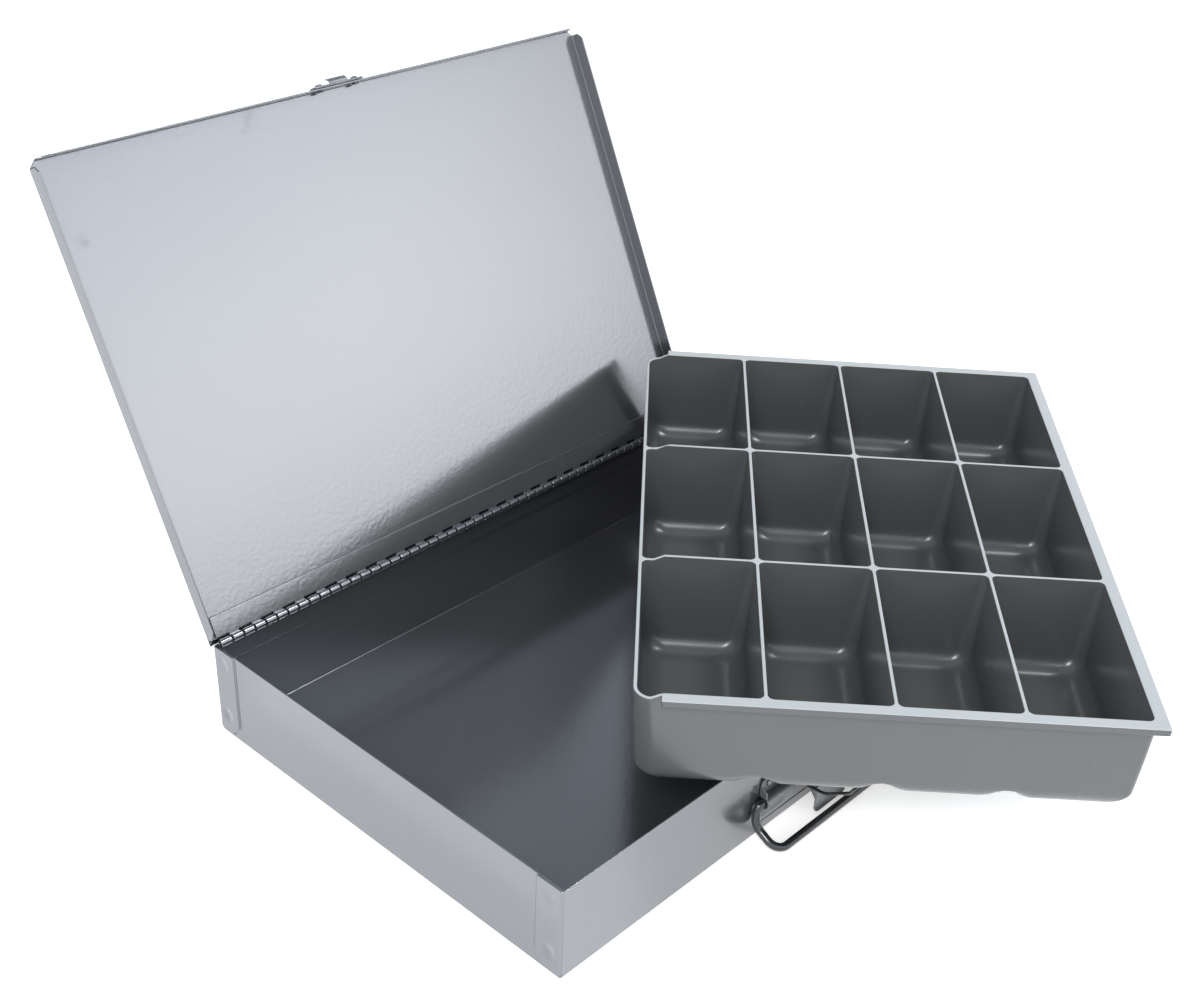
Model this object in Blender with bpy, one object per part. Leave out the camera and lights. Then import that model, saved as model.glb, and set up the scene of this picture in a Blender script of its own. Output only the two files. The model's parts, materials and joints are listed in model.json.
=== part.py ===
"""Low steel tool box: folded body, piano-hinged lid, wire handle, draw latch and a lift-out
twelve-cup tray laid across the open body.

Metres, +Z up. The origin is the centre of the body's flat bottom, +X runs to the right along
the front and +Y runs back to the hinge.
"""

import math

import bmesh
import bpy
from mathutils import Matrix, Vector

# Body and sheet metal
BODY_WIDTH = 0.3397
BODY_DEPTH = 0.2350
BODY_HEIGHT = 0.0508
SHEET = 0.0009
FOLD_RADIUS = 0.0015
TAB_LENGTH = 0.0152
TAB_FOOT = 0.0025
TAB_CHAMFER = 0.0055
NAME_BAR = (0.0710, 0.0046, 0.0003)
NAME_BAR_HEIGHT = 0.0041
FIT_GAP = 0.0003

# Piano hinge
KNUCKLE_RADIUS = 0.0020
LEAF_THICKNESS = 0.0008
LEAF_WIDTH = 0.0132
KNUCKLE_COUNT = 51
KNUCKLE_RISE = 0.0015
KNUCKLE_NOTCH = 0.0006
HINGE_PIN_RADIUS = 0.0009
LID_OPEN_ANGLE = math.radians(116.5)

# Lid
LID_SIDE_OVERHANG = 0.0020
LID_FRONT_OVERHANG = 0.0022
LID_FLANGE = 0.0080
LID_BACK_SETBACK = 0.0003
LID_CORNER_CHAMFER = 0.0042
FLANGE_END_SLANT = 0.0110
FLANGE_SIDE_SLANT = 0.0077

# Handle
WIRE_RADIUS = 0.0021
WIRE_WALL_GAP = 0.0004
HANDLE_HALF_SPAN = 0.0436
HANDLE_PIVOT_HEIGHT = 0.0218
HANDLE_PIVOT_STANDOFF = WIRE_RADIUS + WIRE_WALL_GAP
HANDLE_LEG_DROP = 0.0112
HANDLE_REACH = 0.0143
HANDLE_DROP = 0.0190
HANDLE_END_BEND = 0.0042
HANDLE_KNEE_RADIUS = 0.0080
HANDLE_CORNER_RADIUS = 0.0070
BRACKET_WIDTH = 0.0205
BRACKET_OFFSET = 0.0040
BRACKET_SHEET = 0.0010
BRACKET_TOP = 0.0345
BRACKET_BOTTOM = 0.0103
BRACKET_CORNER = 0.0040
BRACKET_EAR_DEPTH = 0.0030
BRACKET_RIVET_SPACING = 0.0100
BRACKET_RIVET_HEIGHT = 0.0305

# Draw latch
LATCH_PIVOT_STANDOFF = 0.0070
LATCH_PIVOT_HEIGHT = 0.0250
LATCH_PIN_RADIUS = 0.0011
LATCH_BASE_TOP = 0.0385
LATCH_BASE_BOTTOM = 0.0190
LATCH_BASE_WIDTH = 0.0214
LATCH_BASE_CORNER = 0.0030
LATCH_EAR_RADIUS = 0.0026
LATCH_SHEET = 0.0010
LATCH_RIVET_HEIGHT = 0.0345
LATCH_RIVET_SPACING = 0.0110
LEVER_WIDTH = 0.0250
LEVER_FACE_STANDOFF = 0.0141
LEVER_TOP = 0.0280
LEVER_BOTTOM = 0.0055
LEVER_CHEEK_END = 0.0130
LEVER_CORNER = 0.0038
LOOP_RADIUS = 0.00085
LOOP_PIVOT_STANDOFF = 0.0095
LOOP_PIVOT_HEIGHT = 0.0213
LOOP_SIDE_CLEARANCE = 0.0007
LOOP_ELBOW = (0.0095, 0.0007)
LOOP_KNEE = (0.0230, 0.0095)
LOOP_TIP = (0.0250, 0.0130)
LOOP_END_BEND = 0.00102
LOOP_BENDS = (0.0110, 0.0028, 0.0020)

# Lid catch
CATCH_WIDTH = 0.0310
CATCH_HEIGHT = 0.0062
CATCH_SHEET = 0.0010
CATCH_DROP = 0.0009
CATCH_CORNER = 0.00155
HOOK_WIDTH = 0.0114
HOOK_RADIUS = 0.0033
CATCH_RIVET_SPACING = 0.0225

# Rivets
RIVET_RADIUS = 0.0011
RIVET_HEAD_RADIUS = 0.0020
RIVET_HEAD_HEIGHT = 0.0008

# Tray
TRAY_WIDTH = 0.3350
TRAY_DEPTH = 0.2274
TRAY_HEIGHT = 0.0525
TRAY_ROWS = 3
TRAY_COLUMNS = 4
TRAY_WALL = 0.0016
TRAY_LIP = 0.0052
TRAY_SKIRT = 0.0034
TRAY_SKIRT_WALL = 0.0014
TRAY_DRAFT = math.tan(math.radians(2.5))
CUP_CORNER = 0.0030
CUP_FLOOR_CORNER = 0.0080
CUP_FILLET = 0.0095
HINGE_SIDE_CORNER = 0.0090
HINGE_STRIP_WIDTH = 0.0114
HINGE_STRIP_DROP = 0.0025
TRAY_SHIFT = 0.0937
TRAY_HINGE_DISTANCE = 0.1845
TRAY_TURN = math.radians(41.1)

FRONT = -BODY_DEPTH / 2
HINGE_Y = BODY_DEPTH / 2 - SHEET - FIT_GAP - KNUCKLE_RADIUS
HINGE_Z = BODY_HEIGHT + KNUCKLE_RISE
HINGE_LENGTH = BODY_WIDTH - 4 * SHEET - 2 * FIT_GAP
TRAY_CENTRE = (TRAY_SHIFT, HINGE_Y - TRAY_HINGE_DISTANCE)
CUT = 0.0010


def new_collection(name):
    collection = bpy.data.collections.new(name)
    bpy.context.scene.collection.children.link(collection)
    return collection


def material(name, colour, roughness, metallic):
    made = bpy.data.materials.new(name)
    made.use_nodes = True
    shader = made.node_tree.nodes["Principled BSDF"]
    shader.inputs["Base Color"].default_value = (*colour, 1.0)
    shader.inputs["Roughness"].default_value = roughness
    shader.inputs["Metallic"].default_value = metallic
    return made


def link_mesh(name, mesh, collection):
    made = bpy.data.objects.new(name, mesh)
    collection.objects.link(made)
    return made


def object_from_bmesh(name, bm, collection):
    mesh = bpy.data.meshes.new(name)
    bmesh.ops.recalc_face_normals(bm, faces=bm.faces)
    bm.to_mesh(mesh)
    bm.free()
    return link_mesh(name, mesh, collection)


def block(name, low, high, collection, bevel_edges=None, radius=0.0, segments=2):
    """A box between two corners; bevel_edges chooses the edges that are rounded."""
    bm = bmesh.new()
    bmesh.ops.create_cube(bm, size=1.0)
    size = [b - a for a, b in zip(low, high)]
    centre = [(a + b) / 2 for a, b in zip(low, high)]
    bmesh.ops.scale(bm, vec=size, verts=bm.verts)
    bmesh.ops.translate(bm, vec=centre, verts=bm.verts)
    if bevel_edges:
        edges = [edge for edge in bm.edges if bevel_edges(edge)]
        bmesh.ops.bevel(
            bm, geom=edges, offset=radius, segments=segments, profile=0.5, affect="EDGES"
        )
    return object_from_bmesh(name, bm, collection)


def rod(name, radius, start, end, collection, sides=16):
    """A closed cylinder from start to end."""
    start, end = Vector(start), Vector(end)
    bm = bmesh.new()
    bmesh.ops.create_cone(
        bm,
        cap_ends=True,
        segments=sides,
        radius1=radius,
        radius2=radius,
        depth=(end - start).length,
    )
    turn = Vector((0, 0, 1)).rotation_difference(end - start).to_matrix().to_4x4()
    bmesh.ops.transform(bm, matrix=Matrix.Translation((start + end) / 2) @ turn, verts=bm.verts)
    return object_from_bmesh(name, bm, collection)


def arc(centre, radius, first, last, steps):
    """Points of a flat arc, angles in degrees, both ends included."""
    angles = [math.radians(first + (last - first) * i / steps) for i in range(steps + 1)]
    return [(centre[0] + radius * math.cos(a), centre[1] + radius * math.sin(a)) for a in angles]


def rounded(points, radii, steps=4):
    """A closed flat outline with each corner rounded by its own radius."""
    result = []
    count = len(points)
    for index, (corner, radius) in enumerate(zip(points, radii)):
        corner = Vector(corner)
        if radius <= 0:
            result.append(tuple(corner))
            continue
        before = (Vector(points[index - 1]) - corner).normalized()
        after = (Vector(points[(index + 1) % count]) - corner).normalized()
        half = before.angle(after) / 2
        start = corner + before * radius / math.tan(half)
        end = corner + after * radius / math.tan(half)
        centre = corner + (before + after).normalized() * radius / math.sin(half)
        for step in range(steps + 1):
            spoke = (start - centre).lerp(end - centre, step / steps).normalized() * radius
            result.append(tuple(centre + spoke))
    return result


def rectangle(low, high):
    return [(low[0], low[1]), (high[0], low[1]), (high[0], high[1]), (low[0], high[1])]


def mesh_from_curve(name, curve, collection, matrix=Matrix()):
    """Turns a curve into a mesh object with welded caps, and removes the curve."""
    helper = bpy.data.objects.new(name + "_curve", curve)
    collection.objects.link(helper)
    helper.matrix_world = matrix
    bpy.context.view_layer.update()
    graph = bpy.context.evaluated_depsgraph_get()
    mesh = bpy.data.meshes.new_from_object(helper.evaluated_get(graph))
    bm = bmesh.new()
    bm.from_mesh(mesh)
    bmesh.ops.remove_doubles(bm, verts=bm.verts, dist=0.00001)
    bmesh.ops.recalc_face_normals(bm, faces=bm.faces)
    bm.to_mesh(mesh)
    bm.free()
    made = link_mesh(name, mesh, collection)
    made.matrix_world = matrix
    bpy.data.objects.remove(helper)
    return made


# Frames that turn a flat outline (u, v), extruded along w, into space.
ALONG_X = Matrix(((0, 0, 1, 0), (1, 0, 0, 0), (0, 1, 0, 0), (0, 0, 0, 1)))
ALONG_Y = Matrix(((1, 0, 0, 0), (0, 0, -1, 0), (0, 1, 0, 0), (0, 0, 0, 1)))
ALONG_Z = Matrix()


def extrusion(name, outlines, thickness, frame, centre, collection):
    """A plate with the first outline as its edge and any further outlines as holes."""
    curve = bpy.data.curves.new(name, "CURVE")
    curve.dimensions = "2D"
    curve.fill_mode = "BOTH"
    curve.extrude = thickness / 2
    for outline in outlines:
        spline = curve.splines.new("POLY")
        spline.points.add(len(outline) - 1)
        spline.use_cyclic_u = True
        for point, place in zip(spline.points, outline):
            point.co = (place[0], place[1], 0, 1)
    made = mesh_from_curve(name, curve, collection, Matrix.Translation(centre) @ frame)
    made.data.transform(made.matrix_world)
    made.matrix_world = Matrix()
    bm = bmesh.new()
    bm.from_mesh(made.data)
    bmesh.ops.recalc_face_normals(bm, faces=bm.faces)
    bm.to_mesh(made.data)
    bm.free()
    return made


def bend_path(points, radii, steps=5):
    """A path in space with each inner corner replaced by an arc of its own radius."""
    path = [Vector(points[0])]
    for index in range(1, len(points) - 1):
        corner, radius = Vector(points[index]), radii[index - 1]
        before = (Vector(points[index - 1]) - corner).normalized()
        after = (Vector(points[index + 1]) - corner).normalized()
        half = before.angle(after) / 2
        start = corner + before * radius / math.tan(half)
        end = corner + after * radius / math.tan(half)
        centre = corner + (before + after).normalized() * radius / math.sin(half)
        for step in range(steps + 1):
            spoke = (start - centre).lerp(end - centre, step / steps).normalized() * radius
            path.append(centre + spoke)
    return path + [Vector(points[-1])]


def wire(name, path, radius, collection, resolution=3):
    curve = bpy.data.curves.new(name, "CURVE")
    curve.dimensions = "3D"
    curve.bevel_depth = radius
    curve.bevel_resolution = resolution
    curve.use_fill_caps = True
    spline = curve.splines.new("POLY")
    spline.points.add(len(path) - 1)
    for point, place in zip(spline.points, path):
        point.co = (*place, 1)
    return mesh_from_curve(name, curve, collection)


def boolean(target, other, operation="DIFFERENCE"):
    other.hide_render = True
    other.display_type = "WIRE"
    modifier = target.modifiers.new(operation.title() + " " + other.name, "BOOLEAN")
    modifier.operation = operation
    modifier.solver = "EXACT"
    modifier.object = other


def joined(name, pieces, collection):
    """Several closed bodies in one cutter object."""
    bm = bmesh.new()
    for piece in pieces:
        bm.from_mesh(piece.data)
        bpy.data.objects.remove(piece)
    return object_from_bmesh(name, bm, collection)


def finish(made, finish_material, smooth_angle=35):
    made.data.materials.clear()
    made.data.materials.append(finish_material)
    made.data.shade_smooth()
    made.data.set_sharp_from_angle(angle=math.radians(smooth_angle))
    return made


def carry(pivot, made):
    """Parents a piece to its pivot without moving it; the piece's data is in the pivot's frame."""
    made.parent = pivot
    made.matrix_parent_inverse = Matrix()


def pivot_empty(name, place, collection, turn=(0, 0, 0), parent=None):
    empty = bpy.data.objects.new(name, None)
    empty.location = place
    empty.rotation_euler = turn
    collection.objects.link(empty)
    if parent:
        empty.parent = parent
    return empty


def rivet(name, centre, grip, finish_material):
    """A rivet along Y: dome head in front of centre, shank through the grip, flat tail behind."""
    x, y, z = centre
    radius, head = RIVET_RADIUS, RIVET_HEAD_RADIUS
    back = y + FIT_GAP + grip + FIT_GAP
    profile = [(0, y - RIVET_HEAD_HEIGHT), (head * 0.6, y - RIVET_HEAD_HEIGHT * 0.85)]
    profile += [(head, y), (radius, y), (radius, back), (head * 0.9, back)]
    profile += [(head * 0.9, back + RIVET_HEAD_HEIGHT * 0.7), (0, back + RIVET_HEAD_HEIGHT * 0.7)]
    bm = bmesh.new()
    rim = [bm.verts.new((r, depth, 0)) for r, depth in profile]
    edges = [bm.edges.new(pair) for pair in zip(rim, rim[1:])]
    bmesh.ops.spin(
        bm, geom=rim + edges, axis=(0, 1, 0), cent=(0, 0, 0), angle=math.tau, steps=12, use_merge=True
    )
    bmesh.ops.remove_doubles(bm, verts=bm.verts, dist=0.00001)
    bmesh.ops.translate(bm, vec=(x, 0, z), verts=bm.verts)
    return finish(object_from_bmesh(name, bm, PARTS), finish_material)


def rivet_hole(name, centre):
    """The clearance hole of a rivet, along Y through every sheet it grips."""
    x, y, z = centre
    reach = 6 * SHEET
    return rod(name, RIVET_RADIUS + FIT_GAP, (x, y - reach, z), (x, y + reach, z), CUTTERS, 12)


def front_rivet_places():
    """Where rivets pass through the front wall, as name and (x, z)."""
    places = {}
    for side, sign in (("left", -1), ("right", 1)):
        middle = sign * bracket_middle()
        for which, shift in (("outer", 1), ("inner", -1)):
            x = middle + sign * shift * BRACKET_RIVET_SPACING / 2
            places[f"handle_rivet_{side}_{which}"] = (x, BRACKET_RIVET_HEIGHT)
        places[f"latch_rivet_{side}"] = (sign * LATCH_RIVET_SPACING / 2, LATCH_RIVET_HEIGHT)
    return places


def bracket_middle():
    return HANDLE_HALF_SPAN - BRACKET_OFFSET - BRACKET_WIDTH / 2


def side_recess(name, sign):
    """The step that leaves a tab at each end of a side wall, standing proud by one sheet."""
    inner, edge = BODY_DEPTH / 2 - TAB_LENGTH, BODY_DEPTH / 2 + CUT
    half = [(edge, -CUT), (edge, TAB_FOOT), (inner + TAB_CHAMFER, TAB_FOOT)]
    half += [(inner, TAB_FOOT + TAB_CHAMFER), (inner, BODY_HEIGHT + CUT)]
    outline = half + [(-y, z) for y, z in reversed(half)]
    width = SHEET + CUT
    x = sign * (BODY_WIDTH / 2 - SHEET + width / 2)
    return extrusion(name, [outline], width, ALONG_X, (x, 0, 0), CUTTERS)


def body_shell():
    """One folded sheet: bottom, four walls and the corner tabs lapped on to the sides."""

    def outer_fold(edge):
        a, b = (vert.co for vert in edge.verts)
        upright = abs(a.z - b.z) > BODY_HEIGHT / 2
        return upright or (a.z + b.z) / 2 < SHEET

    half = Vector((BODY_WIDTH / 2, BODY_DEPTH / 2))
    shell = block(
        "box_shell", (-half.x, -half.y, 0), (half.x, half.y, BODY_HEIGHT),
        PARTS, outer_fold, FOLD_RADIUS, 3,
    )
    inner = Vector((half.x - 2 * SHEET, half.y - SHEET))
    cavity = block(
        "cavity", (-inner.x, -inner.y, SHEET), (inner.x, inner.y, BODY_HEIGHT + CUT),
        CUTTERS, outer_fold, FOLD_RADIUS - SHEET, 2,
    )
    boolean(shell, cavity)
    for side, sign in (("left", -1), ("right", 1)):
        boolean(shell, side_recess(f"{side}_recess", sign))
    length, height, rise = NAME_BAR
    bar = block(
        "name_bar",
        (-length / 2, FRONT - rise, NAME_BAR_HEIGHT - height / 2),
        (length / 2, FRONT + SHEET / 2, NAME_BAR_HEIGHT + height / 2),
        CUTTERS,
    )
    boolean(shell, bar, "UNION")
    holes = [rivet_hole(name, (x, FRONT, z)) for name, (x, z) in front_rivet_places().items()]
    boolean(shell, joined("front_wall_holes", holes, CUTTERS))
    return finish(shell, PAINT)


def knuckle_span(index):
    pitch = HINGE_LENGTH / KNUCKLE_COUNT
    start = -HINGE_LENGTH / 2 + index * pitch
    return start, start + pitch


def hinge_leaf(name, upright, first_knuckle):
    """A leaf with its own knuckles; the other leaf's knuckles are notched out of it.

    The outline is drawn about the pin with the leaf lying flat, and swapped for the leaf
    that stands against the back wall.
    """
    sheet_top = KNUCKLE_RADIUS
    sheet_under = KNUCKLE_RADIUS - LEAF_THICKNESS
    meet = math.degrees(math.asin(sheet_under / KNUCKLE_RADIUS))
    outline = [(-LEAF_WIDTH, sheet_top), (-LEAF_WIDTH, sheet_under)]
    outline += arc((0, 0), KNUCKLE_RADIUS, 180 - meet, 450, 11)
    bore = arc((0, 0), HINGE_PIN_RADIUS + FIT_GAP, 0, 324, 9)
    if upright:
        outline = [(v, u) for u, v in outline]
        bore = [(v, u) for u, v in bore]
    leaf = extrusion(name, [outline, bore], HINGE_LENGTH, ALONG_X, (0, 0, 0), PARTS)
    notch_reach = KNUCKLE_RADIUS + KNUCKLE_NOTCH
    wide = KNUCKLE_RADIUS + CUT
    notches = []
    for index in range(first_knuckle, KNUCKLE_COUNT, 2):
        start, end = knuckle_span(index)
        start -= FIT_GAP / 2 if index else CUT
        end += FIT_GAP / 2 if index < KNUCKLE_COUNT - 1 else CUT
        low, high = (start, -notch_reach, -wide), (end, wide, wide)
        if upright:
            low, high = (start, -wide, -notch_reach), (end, wide, wide)
        notches.append(block(f"{name}_notch_{index}", low, high, CUTTERS))
    cutter = joined(f"{name}_notches", notches, CUTTERS)
    boolean(leaf, cutter)
    return leaf, cutter


def hinge():
    """Both leaves and the pin. The box leaf has the end knuckles."""
    place = (0, HINGE_Y, HINGE_Z)
    leaf, cutter = hinge_leaf("box_hinge_leaf", True, 1)
    leaf.location = cutter.location = place
    finish(leaf, PAINT)
    lid_leaf, cutter = hinge_leaf("lid_hinge_leaf", False, 0)
    carry(LID_PIVOT, lid_leaf)
    carry(LID_PIVOT, cutter)
    finish(lid_leaf, PAINT)
    pin = rod(
        "hinge_pin", HINGE_PIN_RADIUS, (-HINGE_LENGTH / 2, 0, 0), (HINGE_LENGTH / 2, 0, 0), PARTS, 10
    )
    pin.location = place
    finish(pin, BRIGHT_STEEL)


def lid_frame():
    """The closed lid's edges about the hinge pin: half width, front and back y, under and top z."""
    half_width = BODY_WIDTH / 2 + LID_SIDE_OVERHANG
    front = FRONT - LID_FRONT_OVERHANG - HINGE_Y
    under = KNUCKLE_RADIUS + FIT_GAP
    return half_width, front, -LID_BACK_SETBACK, under, under + SHEET


def catch_rivet_places():
    _, front, _, _, top = lid_frame()
    z = top - CATCH_DROP - CATCH_HEIGHT / 2
    return {
        f"catch_rivet_{side}": (sign * CATCH_RIVET_SPACING / 2, front - CATCH_SHEET - FIT_GAP, z)
        for side, sign in (("left", -1), ("right", 1))
    }


def lid_panel():
    """A flat panel with a flange on three sides, each flange end cut on the slant."""
    half_width, front, back, under, top = lid_frame()
    bottom = top - LID_FLANGE

    def folds(edge):
        a, b = (vert.co for vert in edge.verts)
        on_top = (a.z + b.z) / 2 > top - SHEET / 2
        return on_top and (a.y + b.y) / 2 < back - SHEET

    lid = block(
        "lid_panel", (-half_width, front, bottom), (half_width, back, top), PARTS, folds, SHEET, 3
    )
    pocket = block(
        "lid_pocket",
        (-half_width + SHEET, front + SHEET, bottom - CUT),
        (half_width - SHEET, back + CUT, under),
        CUTTERS,
    )
    corners = []
    slant, chamfer = FLANGE_END_SLANT, LID_CORNER_CHAMFER
    for side, sign in (("left", -1), ("right", 1)):
        edge = sign * (half_width + CUT)
        corner = [(edge, front - CUT), (sign * (half_width - chamfer - CUT), front - CUT)]
        corner += [(edge, front + chamfer + CUT)]
        corners.append(
            extrusion(f"{side}_corner", [corner], 4 * LID_FLANGE, ALONG_Z, (0, 0, 0), CUTTERS)
        )
        front_end = [(sign * (half_width - slant), bottom - CUT), (edge, bottom - CUT), (edge, under)]
        corners.append(
            extrusion(
                f"{side}_front_end", [front_end], 2 * SHEET + CUT, ALONG_Y,
                (0, front + SHEET / 2, 0), CUTTERS,
            )
        )
        x = sign * (half_width - SHEET / 2)
        for end, y, toward in (("back", back, -1), ("front", front, 1)):
            length = LID_FLANGE if end == "back" else FLANGE_SIDE_SLANT
            tail = [(y - toward * CUT, bottom - CUT), (y + toward * length, bottom - CUT)]
            tail += [(y - toward * CUT, under)]
            corners.append(
                extrusion(f"{side}_{end}_end", [tail], 2 * SHEET, ALONG_X, (x, 0, 0), CUTTERS)
            )
    for index, cutter in enumerate([pocket] + corners):
        carry(LID_PIVOT, cutter)
        boolean(lid, cutter)
    holes = [rivet_hole(name, place) for name, place in catch_rivet_places().items()]
    hole_cutter = joined("lid_flange_holes", holes, CUTTERS)
    carry(LID_PIVOT, hole_cutter)
    boolean(lid, hole_cutter)
    carry(LID_PIVOT, lid)
    return finish(lid, PAINT)


def lid_catch():
    """The plate on the lid's front flange, with a strip curled out and up for the latch loop."""
    _, front, _, _, top = lid_frame()
    face = front - FIT_GAP
    upper, lower = top - CATCH_DROP, top - CATCH_DROP - CATCH_HEIGHT
    corners = [CATCH_CORNER] * 4
    plate = extrusion(
        "lid_catch",
        [rounded(rectangle((-CATCH_WIDTH / 2, lower), (CATCH_WIDTH / 2, upper)), corners, 3)],
        CATCH_SHEET, ALONG_Y, (0, face - CATCH_SHEET / 2, 0), PARTS,
    )
    centre = (face - CATCH_SHEET / 2, lower + HOOK_RADIUS + CATCH_SHEET / 2)
    strip = arc(centre, HOOK_RADIUS, 270, 180, 6)
    strip += arc(centre, HOOK_RADIUS - CATCH_SHEET * 0.8, 180, 270, 6)
    hook = extrusion("catch_hook", [strip], HOOK_WIDTH, ALONG_X, (0, 0, 0), CUTTERS)
    holes = [rivet_hole(name, place) for name, place in catch_rivet_places().items()]
    hole_cutter = joined("catch_holes", holes, CUTTERS)
    for cutter, operation in ((hook, "UNION"), (hole_cutter, "DIFFERENCE")):
        carry(LID_PIVOT, cutter)
        boolean(plate, cutter, operation)
    carry(LID_PIVOT, plate)
    finish(plate, BRIGHT_STEEL)
    for name, place in catch_rivet_places().items():
        grip = CATCH_SHEET + FIT_GAP + SHEET
        head = (place[0], place[1] - FIT_GAP, place[2])
        carry(LID_PIVOT, rivet(name, head, grip, BRIGHT_STEEL))


def bracket_section():
    """The bracket's sheet seen from the side: flat, round the wire in a half-round channel, flat."""
    channel = WIRE_RADIUS + WIRE_WALL_GAP
    axis_y, axis_z = FRONT - HANDLE_PIVOT_STANDOFF, HANDLE_PIVOT_HEIGHT
    inner, outer = FRONT - FIT_GAP, FRONT - FIT_GAP - BRACKET_SHEET
    round_outside = arc((axis_y, axis_z), channel + BRACKET_SHEET, 90, 270, 10)
    round_inside = arc((axis_y, axis_z), channel, 270, 90, 10)
    section = [(inner, BRACKET_TOP), (outer, BRACKET_TOP), (outer, axis_z + channel + BRACKET_SHEET)]
    section += round_outside + [(outer, axis_z - channel - BRACKET_SHEET)]
    section += [(outer, BRACKET_BOTTOM), (inner, BRACKET_BOTTOM), (inner, axis_z - channel)]
    section += round_inside + [(inner, axis_z + channel)]
    return section


def handle_bracket(side, sign):
    """A stamped plate riveted to the front wall, with an ear turned out beside the handle's leg."""
    middle = sign * bracket_middle()
    bracket = extrusion(
        f"handle_bracket_{side}", [bracket_section()], BRACKET_WIDTH, ALONG_X, (middle, 0, 0), PARTS
    )
    half = BRACKET_WIDTH / 2
    low = (middle - half, BRACKET_BOTTOM)
    high = (middle + half, BRACKET_TOP)
    outline = rounded(rectangle(low, high), [BRACKET_CORNER] * 4)
    deep = 8 * HANDLE_PIVOT_STANDOFF
    keep = extrusion(f"{side}_bracket_outline", [outline], deep, ALONG_Y, (0, FRONT, 0), CUTTERS)
    boolean(bracket, keep, "INTERSECT")
    ear_x = middle + sign * (half - BRACKET_SHEET / 2)
    ear_foot = HANDLE_PIVOT_HEIGHT + WIRE_RADIUS + 2 * FIT_GAP
    ear_top = BRACKET_TOP - BRACKET_CORNER
    back, tip = FRONT - FIT_GAP, FRONT - FIT_GAP - BRACKET_SHEET - BRACKET_EAR_DEPTH
    ear_outline = [(back, ear_foot), (tip, ear_foot), (tip, ear_foot + BRACKET_EAR_DEPTH)]
    ear_outline += [(back - BRACKET_SHEET, ear_top), (back, ear_top)]
    ear_outline = rounded(ear_outline, [0, 0, BRACKET_EAR_DEPTH / 2, 0, 0], 3)
    ear = extrusion(f"{side}_ear", [ear_outline], BRACKET_SHEET, ALONG_X, (ear_x, 0, 0), CUTTERS)
    boolean(bracket, ear, "UNION")
    places = {
        name: place for name, place in front_rivet_places().items() if f"handle_rivet_{side}" in name
    }
    holes = [rivet_hole(name, (x, FRONT, z)) for name, (x, z) in places.items()]
    boolean(bracket, joined(f"{side}_bracket_holes", holes, CUTTERS))
    finish(bracket, BRIGHT_STEEL)
    front_sheet_rivets(places, BRACKET_SHEET)


def front_sheet_rivets(places, plate):
    for name, (x, z) in places.items():
        head = (x, FRONT - FIT_GAP - plate - FIT_GAP, z)
        rivet(name, head, plate + FIT_GAP + SHEET, BRIGHT_STEEL)


def handle_bail():
    """One bent wire: ends turned inward into the bracket channels, legs down, grip bar in front."""
    span, reach, drop = HANDLE_HALF_SPAN, HANDLE_REACH, HANDLE_DROP
    end = bracket_middle() - BRACKET_WIDTH / 4
    left = [(-end, 0, 0), (-span, 0, 0), (-span, 0, -HANDLE_LEG_DROP), (-span, -reach, -drop)]
    points = left + [(-x, y, z) for x, y, z in reversed(left)]
    bends = [HANDLE_END_BEND, HANDLE_KNEE_RADIUS, HANDLE_CORNER_RADIUS]
    bail = wire("handle_bail", bend_path(points, bends + bends[::-1]), WIRE_RADIUS, PARTS)
    pivot = pivot_empty(
        "handle_pivot", (0, FRONT - HANDLE_PIVOT_STANDOFF, HANDLE_PIVOT_HEIGHT), PARTS
    )
    carry(pivot, bail)
    finish(bail, BLACK_WIRE, 50)


def latch_base():
    """A plate on the front wall with two ears that hold the lever's pin."""
    half = LATCH_BASE_WIDTH / 2
    corners = [LATCH_BASE_CORNER] * 2
    plate = extrusion(
        "latch_base",
        [rounded(rectangle((-half, LATCH_BASE_BOTTOM), (half, LATCH_BASE_TOP)), [0, 0, *corners])],
        LATCH_SHEET, ALONG_Y, (0, FRONT - FIT_GAP - LATCH_SHEET / 2, 0), PARTS,
    )
    pin_y, radius = FRONT - LATCH_PIVOT_STANDOFF, LATCH_EAR_RADIUS
    z = LATCH_PIVOT_HEIGHT
    outline = [(FRONT - FIT_GAP - LATCH_SHEET / 2, z - radius)]
    outline += arc((pin_y, z), radius, 270, 90, 8) + [(outline[0][0], z + radius)]
    for side, sign in (("left", -1), ("right", 1)):
        x = sign * (half - LATCH_SHEET / 2)
        ear = extrusion(f"latch_ear_{side}", [outline], LATCH_SHEET, ALONG_X, (x, 0, 0), CUTTERS)
        boolean(plate, ear, "UNION")
    bore = rod(
        "latch_base_bore", LATCH_PIN_RADIUS + FIT_GAP, (-half - CUT, pin_y, z), (half + CUT, pin_y, z),
        CUTTERS, 12,
    )
    boolean(plate, bore)
    places = {name: place for name, place in front_rivet_places().items() if "latch" in name}
    holes = [rivet_hole(name, (x, FRONT, height)) for name, (x, height) in places.items()]
    boolean(plate, joined("latch_base_holes", holes, CUTTERS))
    finish(plate, BRIGHT_STEEL)
    front_sheet_rivets(places, LATCH_SHEET)
    reach = LEVER_WIDTH / 2 + FIT_GAP
    pin = rod("latch_pin", LATCH_PIN_RADIUS, (-reach, pin_y, z), (reach, pin_y, z), PARTS, 12)
    finish(pin, BRIGHT_STEEL)


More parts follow.
